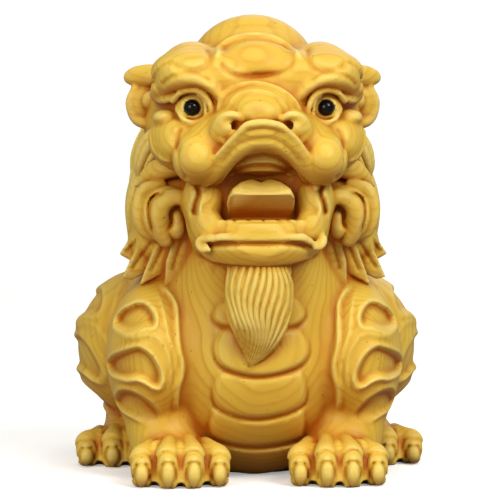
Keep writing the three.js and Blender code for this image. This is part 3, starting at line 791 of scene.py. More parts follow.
def tongue_faces(x, y, z):
    """The tongue's top slopes up to the back, and its front is undercut."""
    edge = TONGUE_EDGE - TONGUE_ARCH * x * x
    top = (z - edge - TONGUE_SLOPE * (y - TONGUE_FRONT)) / math.hypot(1, TONGUE_SLOPE)
    front = (TONGUE_FRONT + TONGUE_UNDERCUT * (TONGUE_EDGE - z) - y) / math.hypot(1, TONGUE_UNDERCUT)
    return np.maximum(top, front)


def chin_faces(x, y, z):
    """The chin is rounded by an egg."""
    local = [(c - a) / h for c, a, h in zip((x, y, z), CHIN_ROUND.at, CHIN_ROUND.half)]
    near = np.sqrt(sum(c * c for c in local))
    slope = np.sqrt(sum((c / h) ** 2 for c, h in zip(local, CHIN_ROUND.half))) + LEVEL
    return near * (near - 1) / slope


def prism(block, outline, front, back, round_by, soft, within=None, side=1, cut=False):
    """A bar whose outline is drawn on the front, kept inside another form where one is given."""
    line = np.array([*outline, outline[0]], float) * (side, 1)
    low, high = line.min(0) - MARGIN, line.max(0) + MARGIN
    part, (x, y, z) = block.window((low[0], front - MARGIN, low[1]), (high[0], back + MARGIN, high[1]))
    flat_x, flat_z = np.broadcast_arrays(x[:, 0, :], z[:, 0, :])
    gap, _ = measure(flat_x.ravel(), flat_z.ravel(), line, True)
    gap = gap.reshape(flat_x.shape)[:, None, :] + round_by
    ends = np.abs(y - (front + back) / 2) - (back - front) / 2 + round_by
    solid = np.sqrt(np.maximum(gap, 0) ** 2 + np.maximum(ends, 0) ** 2)
    solid = solid + np.minimum(np.maximum(gap, ends), 0) - round_by
    if within:
        solid = np.maximum(solid, within(x, y, z))
    block.merge(part, solid, soft, cut)


# Beard and mane, in millimetres

BEARD = (
    (0, -30.8, 43, 5.0), (-0.1, -31.2, 39.5, 5.6), (-0.1, -31.4, 35.5, 6.2), (-0.2, -31.1, 31.5, 5.9),
    (-0.1, -30.7, 28, 4.5), (-0.7, -30.3, 24.6, 2.4), (-1.9, -29.8, 21.4, 0.4),
)
SIDE_WING = ((15.5, -16, 63.5, 2.8), (18.4, -14.5, 60.6, 3.0), (20, -14, 57.6, 2.2), (20.8, -13.5, 55, 0.9))
SIDE_LEAF = (
    (13.8, -20, 56.9, 1.6), (17.3, -19, 56.6, 2.1), (19.7, -17.5, 55.3, 1.5), (21.9, -16, 53.4, 0.35),
)
CURL_BACK = (
    (17.3, -19.5, 53.7, 1.1), (20.1, -19.8, 52.9, 1.3), (21.2, -20, 50.5, 1.35), (21.2, -20, 47.8, 1.35),
    (20.3, -20, 45.4, 1.2), (19.2, -20.4, 44.2, 0.6),
)
CURL_FILL = Egg((16, -20.6, 48.2), (4.8, 3.9, 5.4), 0.5)
CURL_LINES = (
    ((-16, 52.6), (-18.2, 52), (-19.4, 50.6), (-19.6, 48.6), (-19.1, 46.4), (-18.2, 43.7)),
    ((-13.6, 50), (-14.8, 49.8), (-15.7, 48.8), (-15.4, 47.2), (-16, 45.4)),
)
LOCK_LINES = (
    ((23.6, 40.9), (21.8, 43.2), (20.6, 45.4)), ((22.6, 38), (20.8, 40.6), (19, 43.4)),
    ((19.2, 37.6), (17.6, 41), (16.2, 44)), ((15.3, 38), (14.4, 41.4), (13.4, 44.2)),
)
LOCK_ROOT = Egg((17.2, -11, 43.4), (6, 8, 4.8), 0.8)
CURL_FRONT = (
    (16.7, -23.2, 43.8, 1.3), (17.8, -23.6, 46.5, 1.9), (17.5, -24, 49.2, 2.1), (16.1, -24.5, 51, 1.9),
    (14.3, -25.1, 51.4, 1.6), (12.8, -25.8, 50.3, 1.3), (12.1, -26.3, 48.4, 1.1), (12, -26.6, 46.4, 0.95),
    (11.8, -26.8, 44, 0.5),
)
CURL_DROP = Egg((14.6, -23.9, 46.6), (1.6, 1.6, 2.6), 0.3)
NECK_LOCKS = (
    ((24.8, 40.7), (22.8, 43.6), (21.4, 46), (18.6, 46), (18.4, 42.5), (20.3, 41.1), (22.5, 39.4)),
    (
        (24.3, 36.5), (22.8, 39.8), (21, 43.4), (18.4, 45.5), (16.2, 44.5), (17.9, 40.4), (20, 37.4),
        (22.6, 36.1),
    ),
    ((21.2, 35.2), (20.3, 37.8), (18.6, 42), (16.8, 45), (13.6, 44.6), (14, 41.6), (15.6, 38), (18.4, 36.7)),
    (
        (16.6, 35.8), (16.4, 39.8), (15.2, 43.7), (13.8, 45.6), (11.7, 45), (11.9, 42.5), (13, 39.9),
        (14.4, 37),
    ),
)
LOCK_FRONTS = (-14, -17.4, -20.4, -23)
LOCK_TOP = 46
LOCK_LEAN = 0.3
LOCK_THICK = 7
LOCK_TIP = 0.9
LOCK_DEPTHS = (-1.5, 3.5)
RUFF = Egg((13.6, -11.5, 48), (9.4, 11.2, 8.8), 1.5)
SIDE_LOCKS = (-12, -6.5, -1, 4)
SIDE_LOCK = (
    (15.6, -2, 60.5, 1.2), (19.4, -0.8, 56, 3), (21, 0.6, 50, 3.7), (21, 2, 44, 3), (21.6, 3.6, 39.6, 0.5),
)
NAPE = Egg((0, 1, 55), (19.5, 16.5, 20))
NAPE_LEVEL = 0.85  # above and below this share of its height the nape curves in no further
MANE_ROWS = ((76, 5, 72), (69, 8, 108), (62, 9, 112))
LOCK_DROP = 18
NAPE_LOCK = ((0, -1.6, 1.2), (0.25, 0.3, 3.2), (0.55, 0.9, 4.2), (0.8, 1.1, 3.1), (1, 1.8, 0.5))


def on_nape(angle, height, lift):
    """A place some way out from the nape, at an angle round from straight behind."""
    level = min(max((height - NAPE.at[2]) / NAPE.half[2], -NAPE_LEVEL), NAPE_LEVEL)
    about = math.sqrt(1 - level * level)
    x = (NAPE.half[0] * about + lift) * math.sin(angle)
    return x, (NAPE.half[1] * about + lift) * math.cos(angle) + NAPE.at[1], height


def wedge(front, outline):
    """A neck lock's faces: both lean, and they close towards its tip."""
    fall = LOCK_TOP - min(z for _, z in outline)
    close = (LOCK_THICK - LOCK_TIP) / fall - LOCK_LEAN

    def faces(x, y, z):
        ahead = (front + LOCK_LEAN * (LOCK_TOP - z) - y) / math.hypot(1, LOCK_LEAN)
        behind = (y - front - LOCK_THICK + close * (LOCK_TOP - z)) / math.hypot(1, close)
        return np.maximum(ahead, behind)

    return faces


def carve_mane(block):
    """Beard, side curls, neck locks and the rows of combed locks round the nape."""
    block.strand(BEARD, soft=0.5, flat=0.62, comb=(11, 0.35), wave=0.12)
    for side in SIDES:
        block.egg(*RUFF, side=side)
        block.strand(SIDE_WING, soft=0.4, flat=0.8, face=(0.6, -1, 0), side=side, comb=(3, 0.4))
        block.strand(SIDE_LEAF, soft=0.3, flat=0.75, face=(0.3, -1, 0.3), side=side)
        block.strand(CURL_BACK, soft=0.25, side=side)
        block.egg(*CURL_FILL, side=side)
        block.strand(CURL_FRONT, soft=0.25, side=side)
        block.egg(*CURL_DROP, side=side)
        for line in CURL_LINES:
            block.relief(line, groove(0.8, width=0.35, taper=0.2), depths=(-32, -14), side=-side)
        block.egg(*LOCK_ROOT, side=side)
        for front, outline, line in zip(LOCK_FRONTS, NECK_LOCKS, LOCK_LINES):
            faces = wedge(front, outline)
            prism(block, outline, front, front + LOCK_THICK, round_by=0.8, soft=0.5, within=faces, side=side)
            depths = (front + LOCK_DEPTHS[0], front + LOCK_DEPTHS[1])
            block.relief(line, groove(0.45, width=0.32, taper=0.05), depths, side=side)
        for start in SIDE_LOCKS:
            points = [(x, start + y, z, radius) for x, y, z, radius in SIDE_LOCK]
            block.strand(points, soft=0.4, flat=0.55, face=(1, -0.1, 0), side=side, comb=(5, 0.4))
    for start, count, reach in MANE_ROWS:
        for i in range(count):
            angle = math.radians(reach * (2 * i / (count - 1) - 1))
            points = []
            for share, lift, radius in NAPE_LOCK:
                points.append((*on_nape(angle, start - share * LOCK_DROP, lift), radius))
            face = (math.sin(angle), math.cos(angle), 0)
            block.strand(points, soft=0.4, flat=0.55, face=face, comb=(5, 0.4))


# Back, in millimetres

SPINE = ((0, 15, 44.4, 2.2), (0, 24, 43, 2.4), (0, 32, 38.2, 2.2), (0, 37, 31, 1.6))
TAIL_BACK = 41.6
TAIL_THICK = 3.4
TAIL_LOCKS = ((-7.5, 30), (0, 37), (7.5, 30))  # how far out each lock's tip lies, and how high
TAIL_LOCK = ((0.1, 6, 10.5, 2.2), (0.6, 3, 17.5, 3.6), (0.9, 0, 27, 3.2))  # share out, depth, height, radius
TAIL_TIP = (1.5, 0.6)
TAIL_ROOT = Egg((0, 35, 12.5), (5, 5, 5.5), 1.0)


def carve_back(block):
    """A low ridge down the back, and a tail of three locks laid against the rump."""
    block.strand(SPINE, soft=1.0, face=(0, 0.3, 1))
    skin = TAIL_BACK - TAIL_THICK
    for x, top in TAIL_LOCKS:
        lock = [(share * x, skin - deep, z, radius) for share, deep, z, radius in TAIL_LOCK]
        lock.append((x, skin - TAIL_TIP[0], top, TAIL_TIP[1]))
        block.strand(lock, soft=0.5, face=(0, 1, 0.3), comb=(3, 0.6))
    block.egg(*TAIL_ROOT)


# Bead

BEAD_AT = (12, -29.5, 67.8)
SOCKET_GAP = 0.1
SOCKET_MOUTH = 1.5  # how far ahead of the bead's middle the socket is widest
SOCKET_DEPTH = 3.2


def carve_sockets(block):
    """Bores each socket just wide enough to show its whole bead."""
    reach = block.sizes.bead_radius / MM + SOCKET_GAP
    x, y, z = BEAD_AT
    for side in SIDES:
        block.egg((x, y - SOCKET_MOUTH, z), (reach, SOCKET_DEPTH, reach), soft=0.15, side=side, cut=True)


CARVING = (carve_trunk, carve_legs, carve_head, carve_mane, carve_mouth, carve_back, carve_sockets)


# Meshes


def fresh_mesh(name, points, faces):
    """A mesh in metres from corners in millimetres and faces that all have as many corners."""
    mesh = bpy.data.meshes.new(name)
    mesh.vertices.add(len(points))
    mesh.vertices.foreach_set("co", (points * MM).astype(np.float32).ravel())
    mesh.loops.add(faces.size)
    mesh.loops.foreach_set("vertex_index", faces.astype(np.int32).ravel())
    mesh.polygons.add(len(faces))
    mesh.polygons.foreach_set("loop_start", np.arange(0, faces.size, faces.shape[1], dtype=np.int32))
    mesh.update(calc_edges=True)
    mesh.validate()
    return mesh


def shown(name, mesh):
    """A new object that shows a mesh."""
    piece = bpy.data.objects.new(name, mesh)
    bpy.context.scene.collection.objects.link(piece)
    return piece


def settled(piece):
    """The piece's mesh with its modifiers worked in, on the same object."""
    graph = bpy.context.evaluated_depsgraph_get()
    mesh = bpy.data.meshes.new_from_object(piece.evaluated_get(graph))
    piece.modifiers.clear()
    piece.data = mesh
    return piece


def mark(mesh, name, values):
    """Keeps one number for each corner of a mesh."""
    mesh.attributes.new(name, "FLOAT", "POINT").data.foreach_set("value", np.array(values, np.float32))


# Settings


def tone(name, description, *shade):
    """A colour on the panel."""
    return bpy.props.FloatVectorProperty(
        name=name, description=description, subtype="COLOR", size=4, min=0, max=1, default=(*shade, 1),
    )


def number(name, description, default, **limits):
    """A number on the panel."""
    return bpy.props.FloatProperty(name=name, description=description, default=default, **limits)


class QILIN_PG_carving(bpy.types.PropertyGroup):
    """Sizes and colours of the carving."""

    cell: number("Cell", "Spacing of the carving's grid", 0.3 * MM, min=0.2 * MM, max=2 * MM, unit="LENGTH")
    triangles: bpy.props.IntProperty(
        name="Triangles", description="Most triangles in the carving before its ribs",
        default=136000, min=1000,
    )
    plate_step: number("Plate step", "How far a belly plate's foot stands proud, in millimetres", 0.9)
    scoop_depth: number("Scoop depth", "How deep the leg panels are scooped, in millimetres", 1.2)
    rib_plumpness: number("Rib plumpness", "How wide a lock's ribs are for the room that each has", 1.05)
    bead_radius: number("Bead radius", "Radius of an eye bead", 1.5 * MM, unit="LENGTH")
    ring_spacing: number("Ring spacing", "Distance between growth rings", 0.9 * MM, unit="LENGTH")
    honey: tone("Honey", "Colour of the open wood", 0.71, 0.48, 0.06)
    # Amber is the late wood of the rings, and also the painted shade in cuts, hollows and undersides
    amber: tone("Amber", "Colour of the wood down in the cuts", 0.4, 0.1, 0.002)
    # Pale is the colour the wood takes on sharp outer edges
    pale: tone("Pale", "Colour of the handled edges", 0.84, 0.7, 0.24)
    floor: tone("Floor", "Colour of the floor", 0.94, 0.94, 0.93)


# Finishes


class Nodes:
    """Short ways to add and link nodes in one tree."""

    def __init__(self, tree):
        self.tree = tree

    def feed(self, sockets, given):
        """Sets inputs, by name or place, to values or to other nodes' results."""
        for name, value in given.items():
            if hasattr(value, "is_output"):
                self.tree.links.new(value, sockets[name])
            else:
                sockets[name].default_value = value

    def add(self, kind, given=None, **settings):
        """A new node with its settings and its inputs."""
        node = self.tree.nodes.new(kind)
        for name, value in settings.items():
            setattr(node, name, value)
        self.feed(node.inputs, given or {})
        return node

    def math(self, operation, *values):
        """One step of arithmetic on numbers or on other nodes' results."""
        return self.add("ShaderNodeMath", dict(enumerate(values)), operation=operation).outputs[0]

    def plus(self, first, second):
        """Two values added."""
        return self.math("ADD", first, second)

    def less(self, first, second):
        """The first value less the second."""
        return self.math("SUBTRACT", first, second)

    def times(self, first, second):
        """Two values multiplied."""
        return self.math("MULTIPLY", first, second)

    def over(self, first, second):
        """The first value divided by the second."""
        return self.math("DIVIDE", first, second)

    def noise(self, place, scale, detail=2):
        """Soft noise read at a place, with this many lumps to the metre."""
        given = {"Vector": place, "Scale": scale, "Detail": detail}
        return self.add("ShaderNodeTexNoise", given).outputs[0]

    def ramp(self, value, stops):
        """Straight steps of grey between stops of place and shade."""
        node = self.add("ShaderNodeValToRGB", {0: value})
        marks = node.color_ramp.elements
        marks[0].position, marks[1].position = stops[0][0], stops[-1][0]
        for place, _ in stops[1:-1]:
            marks.new(place)
        for mark, (_, shade) in zip(marks, stops):
            mark.color = (shade, shade, shade, 1)
        return node.outputs[0]

    def mix(self, share, first, second):
        """One colour turning into another by a share."""
        return self.add("ShaderNodeMix", {0: share, 6: first, 7: second}, data_type="RGBA").outputs[2]


def fresh_tree(name, kind, takes, gives):
    """A new node tree with named inputs and outputs."""
    tree = bpy.data.node_groups.new(name, kind)
    for way, sockets in (("INPUT", takes), ("OUTPUT", gives)):
        for socket, held in sockets.items():
            tree.interface.new_socket(socket, in_out=way, socket_type="NodeSocket" + held)
    return tree


def fresh_material(name):
    """A new material, its nodes and the inputs of its surface."""
    made = bpy.data.materials.new(name)
    made.use_nodes = True
    return made, Nodes(made.node_tree), made.node_tree.nodes["Principled BSDF"].inputs


# Wood: the rings' middle in metres and their stretch, on X, Y and Z

RING_PITH = ((0.001, 0.45), (0.012, 1.0), (0.012, 0.7))
RING_WAVER = 0.0035
LATE_WOOD = ((0.0, 0.75), (0.12, 0.0), (0.6, 0.1), (0.92, 1.0), (1.0, 0.75))  # how dark, across one ring
FAINTEST_RING = 0.3

# Wood: lumps of noise to the metre

WAVER_SCALE = 38
DRIFT_SCALE = 45
PORE_SCALE = 2600
SPECK_SCALE = 1300

# Wood: where each mask starts and ends, and how far it turns the colour

DRIFTS = ((0.35, 0.0), (0.7, 1.0))
# Cuts, hollows and undersides mark where the colour turns to amber as painted shade; edges mark where it
# turns pale
CUTS = ((0.5, 0.0), (0.62, 0.6), (0.75, 1.0))
EDGES = ((0.3, 1.0), (0.46, 0.0))
HOLLOWS = ((0.45, 0.0), (0.85, 1.0))
UNDERSIDES = ((0.1, 0.0), (0.9, 1.0))
SPECKS = ((0.74, 0.0), (0.8, 1.0))
RING_SHARE = 0.44
DRIFT_SHARE = 0.3
EDGE_SHARE = 0.5
# How far painted shade turns the colour in cuts, hollows and undersides, and the most it turns it altogether
CUT_SHADE = 0.8
HOLLOW_SHADE = 0.65
UNDERSIDE_SHADE = 0.75
SPECK_SHARE = 0.5
SHADE_LIMIT = 0.95
DRIFT_TONE = (0.66, 0.3, 0.02, 1)
SPECK_TONE = (0.12, 0.035, 0.004, 1)

# Wood: surface

BARE_ROUGHNESS = 0.34
CUT_ROUGHNESS = 0.2
PORE_ROUGHNESS = 0.14
RELIEF_SHARE = 0.4
RELIEF = {"Strength": 0.25, "Distance": 0.15 * MM}
OILED = {
    "Specular IOR Level": 0.2, "Subsurface Weight": 0.05, "Subsurface Radius": (1.0, 0.4, 0.1),
    "Subsurface Scale": 0.0015,
}


def ring_group():
    """Growth rings bent round a knot low in the block, as a 0 to 1 mask and a slow drift."""
    takes = {"Spacing": "Float", "Waver": "Float"}
    tree = fresh_tree("growth_rings", "ShaderNodeTree", takes, {"Ring": "Float", "Drift": "Float"})
    nodes = Nodes(tree)
    given = nodes.add("NodeGroupInput").outputs
    place = nodes.add("ShaderNodeTexCoord").outputs["Object"]
    spot = nodes.add("ShaderNodeSeparateXYZ", {0: place}).outputs
    around = 0
    for axis, (pith, stretch) in enumerate(RING_PITH):
        off = nodes.times(nodes.less(spot[axis], pith), stretch)
        around = nodes.plus(nodes.times(off, off), around)
    pushed = nodes.times(nodes.less(nodes.noise(place, WAVER_SCALE, 3), 0.5), given["Waver"])
    count = nodes.over(nodes.plus(nodes.math("SQRT", around), pushed), given["Spacing"])
    year = nodes.add("ShaderNodeTexWhiteNoise", {"W": nodes.math("FLOOR", count)}, noise_dimensions="1D")
    late = nodes.ramp(nodes.math("FRACT", count), LATE_WOOD)
    strength = nodes.plus(nodes.times(year.outputs[0], 1 - FAINTEST_RING), FAINTEST_RING)
    ring, drift = nodes.times(late, strength), nodes.noise(place, DRIFT_SCALE)
    nodes.add("NodeGroupOutput", {"Ring": ring, "Drift": drift})
    return tree


def boxwood(sizes):
    """Oiled boxwood: honey where open, with painted shade in amber down in the cuts, in hollows and on
    undersides, and paler on sharp outer edges.
    """
    made, nodes, surface = fresh_material("boxwood_oiled")
    honey, amber, pale = tuple(sizes.honey), tuple(sizes.amber), tuple(sizes.pale)
    place = nodes.add("ShaderNodeTexCoord").outputs["Object"]
    taken = {"Spacing": sizes.ring_spacing, "Waver": RING_WAVER}
    rings = nodes.add("ShaderNodeGroup", node_tree=ring_group())
    nodes.feed(rings.inputs, taken)
    ring, drift = rings.outputs["Ring"], nodes.ramp(rings.outputs["Drift"], DRIFTS)

    def kept(name):
        """The mesh's own number of this name."""
        return nodes.add("ShaderNodeAttribute", attribute_name=name).outputs["Fac"]

    fine = kept("fine_hollow")
    cut, edge = nodes.ramp(fine, CUTS), nodes.ramp(fine, EDGES)
    hollows, under = nodes.ramp(kept("broad_hollow"), HOLLOWS), nodes.ramp(kept("underside"), UNDERSIDES)
    ringed = nodes.mix(nodes.times(ring, RING_SHARE), honey, amber)
    toned = nodes.mix(nodes.times(drift, DRIFT_SHARE), ringed, DRIFT_TONE)
    pale_edged = nodes.mix(nodes.times(edge, EDGE_SHARE), toned, pale)
    # Painted shade: amber in cuts, in broad hollows and on faces that look down
    painted_shade = nodes.plus(nodes.times(cut, CUT_SHADE), nodes.times(hollows, HOLLOW_SHADE))
    painted_shade = nodes.math("MINIMUM", nodes.plus(painted_shade, nodes.times(under, UNDERSIDE_SHADE)), SHADE_LIMIT)
    pores = nodes.noise(place, PORE_SCALE)
    specks = nodes.ramp(nodes.noise(place, SPECK_SCALE, 1), SPECKS)
    colour = nodes.mix(nodes.times(specks, SPECK_SHARE), nodes.mix(painted_shade, pale_edged, amber), SPECK_TONE)
    dull = nodes.plus(nodes.times(cut, CUT_ROUGHNESS), BARE_ROUGHNESS)
    dull = nodes.plus(nodes.times(pores, PORE_ROUGHNESS), dull)
    height = nodes.less(nodes.times(pores, RELIEF_SHARE), nodes.times(ring, RELIEF_SHARE))
    bump = nodes.add("ShaderNodeBump", {"Height": height, **RELIEF})
    nodes.feed(surface, {"Base Color": colour, "Roughness": dull, "Normal": bump.outputs[0], **OILED})
    return made


# Glass

GLASS_TONES = ((0.001, 0.001, 0.001, 1), (0.004, 0.0035, 0.004, 1))
CLOUD_SCALE = 900
GLASS_ROUGHNESS = 0.04
GLASS_SHEEN = 0.22


def black_glass():
    """Near-black polished glass, very faintly clouded."""
    made, nodes, surface = fresh_material("bead_glass")
    cloud = nodes.noise(nodes.add("ShaderNodeTexCoord").outputs["Object"], CLOUD_SCALE)
    dull = nodes.plus(nodes.times(cloud, GLASS_ROUGHNESS), GLASS_ROUGHNESS)
    tones = {"Base Color": nodes.mix(cloud, *GLASS_TONES), "Roughness": dull}
    nodes.feed(surface, {**tones, "Specular IOR Level": GLASS_SHEEN})
    return made


# Combed ribs: every lock's ribs follow its path, side by side

RIB_STEPS = 6
RIB_EDGE = 0.97  # the outermost ribs lie this share of the way to the lock's edge
RIB_INSET = 0.8
RIB_SUNK = 0.4


def comb_tree():
    """Ribs laid side by side along each lock's path, joined to the carved wood."""
    gives = {"Geometry": "Geometry"}
    takes = {**gives, "Locks": "Object", "Plumpness": "Float", "Sides": "Int", "Wood": "Material"}
    tree = fresh_tree("combed_locks", "GeometryNodeTree", takes, gives)
    nodes = Nodes(tree)
    given = nodes.add("NodeGroupInput").outputs

    def kept(name, kind):
        """What the paths keep under this name."""
        return nodes.add("GeometryNodeInputNamedAttribute", {0: name}, data_type=kind).outputs[0]

    def scaled(vector, share):
        """A direction made longer or shorter."""
        given = {0: vector, "Scale": share}
        return nodes.add("ShaderNodeVectorMath", given, operation="SCALE").outputs[0]

    ribs, girth, flat, wave = (kept(name, "FLOAT") for name in ("ribs", "girth", "flat", "wave"))
    locks = nodes.add("GeometryNodeObjectInfo", {"Object": given["Locks"]})
    paths = nodes.add("GeometryNodeMeshToCurve", {0: locks.outputs["Geometry"]})
    copies = nodes.add("GeometryNodeDuplicateElements", domain="SPLINE")
    nodes.feed(copies.inputs, {"Geometry": paths.outputs[0], "Amount": ribs})
    middle = nodes.times(nodes.less(ribs, 1), 0.5)
    place = nodes.over(nodes.less(copies.outputs["Duplicate Index"], middle), ribs)
    run = nodes.add("GeometryNodeSplineParameter").outputs["Factor"]
    turn = nodes.plus(nodes.times(run, SWAY[0]), nodes.times(place, SWAY[1]))
    across = nodes.less(nodes.times(place, 2), nodes.times(wave, nodes.math("SINE", turn)))
    across = nodes.math("MAXIMUM", nodes.math("MINIMUM", across, RIB_EDGE), -RIB_EDGE)
    crown = nodes.math("SQRT", nodes.less(1, nodes.times(across, across)))
    thick = nodes.over(nodes.times(girth, given["Plumpness"]), ribs)
    aside = nodes.times(across, nodes.less(girth, nodes.times(thick, RIB_INSET)))
    up = nodes.less(nodes.times(nodes.times(girth, flat), crown), nodes.times(thick, RIB_SUNK))
    wide, out = (kept(name, "FLOAT_VECTOR") for name in ("across", "outward"))
    pushed = {0: scaled(wide, aside), 1: scaled(out, up)}
    moved = nodes.add("ShaderNodeVectorMath", pushed, operation="ADD").outputs[0]
    laid = nodes.add("GeometryNodeSetPosition", {"Geometry": copies.outputs["Geometry"], "Offset": moved})
    section = nodes.add("GeometryNodeCurvePrimitiveCircle", {"Radius": 1, "Resolution": given["Sides"]})
    swept = {"Curve": laid.outputs[0], "Profile Curve": section.outputs[0], "Scale": thick}
    rods = nodes.add("GeometryNodeCurveToMesh", {**swept, "Fill Caps": True})
    rounded = nodes.add("GeometryNodeSetShadeSmooth", {0: rods.outputs[0]})
    both = nodes.add("GeometryNodeJoinGeometry")
    for part in (rounded.outputs[0], given["Geometry"]):
        nodes.feed(both.inputs, {0: part})
    real = nodes.add("GeometryNodeRealizeInstances", {0: both.outputs[0]})
    finish = nodes.add("GeometryNodeSetMaterial", {"Geometry": real.outputs[0], "Material": given["Wood"]})
    nodes.add("NodeGroupOutput", {0: finish.outputs[0]})
    return tree


def lock_paths(locks):
    """The locks' middle lines as one mesh of edges, with what the ribs need kept on its corners."""
    rows, edges = [], []
    for lock in locks:
        ahead = np.gradient(lock.rows[:, :3], axis=0)
        pace = np.linalg.norm(ahead, axis=1)
        ahead /= pace[:, None]
        girth = lock.rows[:, 3] * np.hypot(1, np.gradient(lock.rows[:, 3]) / pace)
        outward = lock.face - (ahead @ lock.face)[:, None] * ahead
        outward /= np.linalg.norm(outward, axis=1)[:, None]
        across = np.cross(ahead, outward)
        first = len(rows)
        edges += [(first + i, first + i + 1) for i in range(len(lock.rows) - 1)]
        for row, thick, out, wide in zip(lock.rows, girth, outward, across):
            rows.append((row[:3] * MM, thick * MM, lock.ribs, lock.flat, lock.wave, out, wide))
    mesh = bpy.data.meshes.new("lock_paths")
    mesh.from_pydata([row[0] for row in rows], edges, [])
    for i, name in enumerate(("girth", "ribs", "flat", "wave"), 1):
        mark(mesh, name, [row[i] for row in rows])
    for i, name in enumerate(("outward", "across"), 5):
        data = mesh.attributes.new(name, "FLOAT_VECTOR", "POINT").data
        data.foreach_set("vector", np.array([row[i] for row in rows], np.float32).ravel())
    return mesh


def comb(piece, locks, wood, sizes):
    """Lay the combed ribs on the piece, as part of the same mesh."""
    paths = shown("lock_paths", lock_paths(locks))
    tree = comb_tree()
    ribs = piece.modifiers.new("combed", "NODES")
    ribs.node_group = tree
    values = {"Locks": paths, "Plumpness": sizes.rib_plumpness, "Sides": RIB_STEPS, "Wood": wood}
    for item in tree.interface.items_tree:
        if item.in_out == "INPUT" and item.name in values:
            ribs[item.identifier] = values[item.name]
    settled(piece)
    bpy.data.objects.remove(paths)


# Pieces

HOLLOW_REACH = {"fine_hollow": 0.8, "broad_hollow": 3.2}  # how far wood is looked for, in millimetres
BEAD_ROWS = 24
BEAD_TURNS = 48


def ball(middle, radius):
    """Corners and faces of a ball."""
    points = [(0, 0, radius), (0, 0, -radius)]
    for i in range(1, BEAD_ROWS):
        tilt = math.pi * i / BEAD_ROWS
        for j in range(BEAD_TURNS):
            turn = 2 * math.pi * j / BEAD_TURNS
            flat = radius * math.sin(tilt)
            points.append((flat * math.cos(turn), flat * math.sin(turn), radius * math.cos(tilt)))
    last = 2 + (BEAD_ROWS - 2) * BEAD_TURNS
    faces = []
    for j in range(BEAD_TURNS):
        k = (j + 1) % BEAD_TURNS
        faces += [(0, 2 + j, 2 + k), (1, last + k, last + j)]
        for row in range(2, last, BEAD_TURNS):
            faces.append((row + j, row + BEAD_TURNS + j, row + BEAD_TURNS + k, row + k))
    return [middle + Vector(point) for point in points], faces


class QILIN_OT_carving(bpy.types.Operator):
    """Carve the whole qilin from one block of boxwood."""

    bl_idname = "qilin.carving"
    bl_label = "Carve the qilin"

    def execute(self, context):
        sizes = context.scene.qilin_carving
        block = Block(sizes)
        for work in CARVING:
            work(block)
        level = block.window(BLOCK_LOW, BLOCK_HIGH)[1][2]
        block.field = np.maximum(block.field, -level)
        points, faces = block.skin()
        piece = shown("carved_wood", fresh_mesh("carved_wood", points, faces))
        thin = piece.modifiers.new("thin", "DECIMATE")
        thin.ratio = min(1.0, sizes.triangles / (2 * len(faces)))
        settled(piece)
        piece.data.polygons.foreach_set("use_smooth", np.ones(len(piece.data.polygons), bool))
        comb(piece, block.locks, boxwood(sizes), sizes)
        mesh = piece.data
        if not len(mesh.polygons):
            raise RuntimeError("the block holds no wood")
        spots = np.empty(3 * len(mesh.vertices), np.float32)
        mesh.vertices.foreach_get("co", spots)
        spots = spots.reshape(-1, 3) / MM
        # How much wood lies round each corner: the wood's colour paints shade from this in cuts and hollows,
        # and pales sharp outer edges
        wood = np.clip(0.5 - block.field / block.step, 0, 1)
        for name, reach in HOLLOW_REACH.items():
            mark(mesh, name, block.sample(spread(wood, round(reach / block.step)), spots))
        # How far each corner faces down, where the wood's colour paints shade
        mark(mesh, "underside", [max(-corner.vector.z, 0) for corner in mesh.vertex_normals])
        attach(piece, "root")
        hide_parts("carved_qilin")
        return {"FINISHED"}


class QILIN_OT_beads(bpy.types.Operator):
    """Set a black glass bead in each eye socket."""

    bl_idname = "qilin.beads"
    bl_label = "Set the eye beads"

    def execute(self, context):
        radius = context.scene.qilin_carving.bead_radius
        glass = black_glass()
        for node in ("left_eye_bead", "right_eye_bead"):
            low, high = (Vector(corner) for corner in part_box(node))
            points, faces = ball((low + high) / 2, radius)
            mesh = bpy.data.meshes.new(node + "_glass")
            mesh.from_pydata(points, [], faces)
            mesh.polygons.foreach_set("use_smooth", np.ones(len(mesh.polygons), bool))
            mesh.materials.append(glass)
            piece = shown(node + "_glass", mesh)
            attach(piece, "root")
            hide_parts(node)
        return {"FINISHED"}


# Stage: the camera stands where the picture was taken, in metres and degrees

FLOOR_REACH = 0.5
FLOOR_SIDES = 96
FLOOR_THROWS = (0.3, 0.3, 0.29, 1)  # the colour that the floor throws back up
FLOOR_GLOW = 0.3
PAPER = {"Roughness": 0.9, "Specular IOR Level": 0.1, "Emission Color": (1, 1, 1, 1)}
SKY_LIGHT = 0.3
SKY_SEEN = 0.75  # how much brighter the surround looks than it lights
CAMERA = {"azimuth": -3.2, "elevation": 3.0, "distance": 0.56, "aim": (0, 0, 0.0408), "lens": 213.3}
NEAREST_SEEN = 0.01

# Lights: place and size in metres, power in watts, colour

LIGHTS = {
    "key": ((0.42, -0.58, 0.58), 0.4, 5.4, (1, 0.98, 0.94)),
    "fill": ((-0.5, -0.7, 0.3), 0.5, 4.0, (1, 0.94, 0.84)),
    "top": ((0.0, -0.25, 0.85), 0.5, 2.2, (1, 0.98, 0.94)),
    "back": ((0.2, 0.75, 0.5), 0.6, 1.2, (1, 0.98, 0.95)),
}


def placed(name, data, at, back):
    """A new lamp or camera at a place, looking away from a direction."""
    holder = bpy.data.objects.new(name, data)
    holder.location = at
    holder.rotation_mode = "QUATERNION"
    holder.rotation_quaternion = (-back).to_track_quat("-Z", "Y")
    bpy.context.scene.collection.objects.link(holder)
    return holder


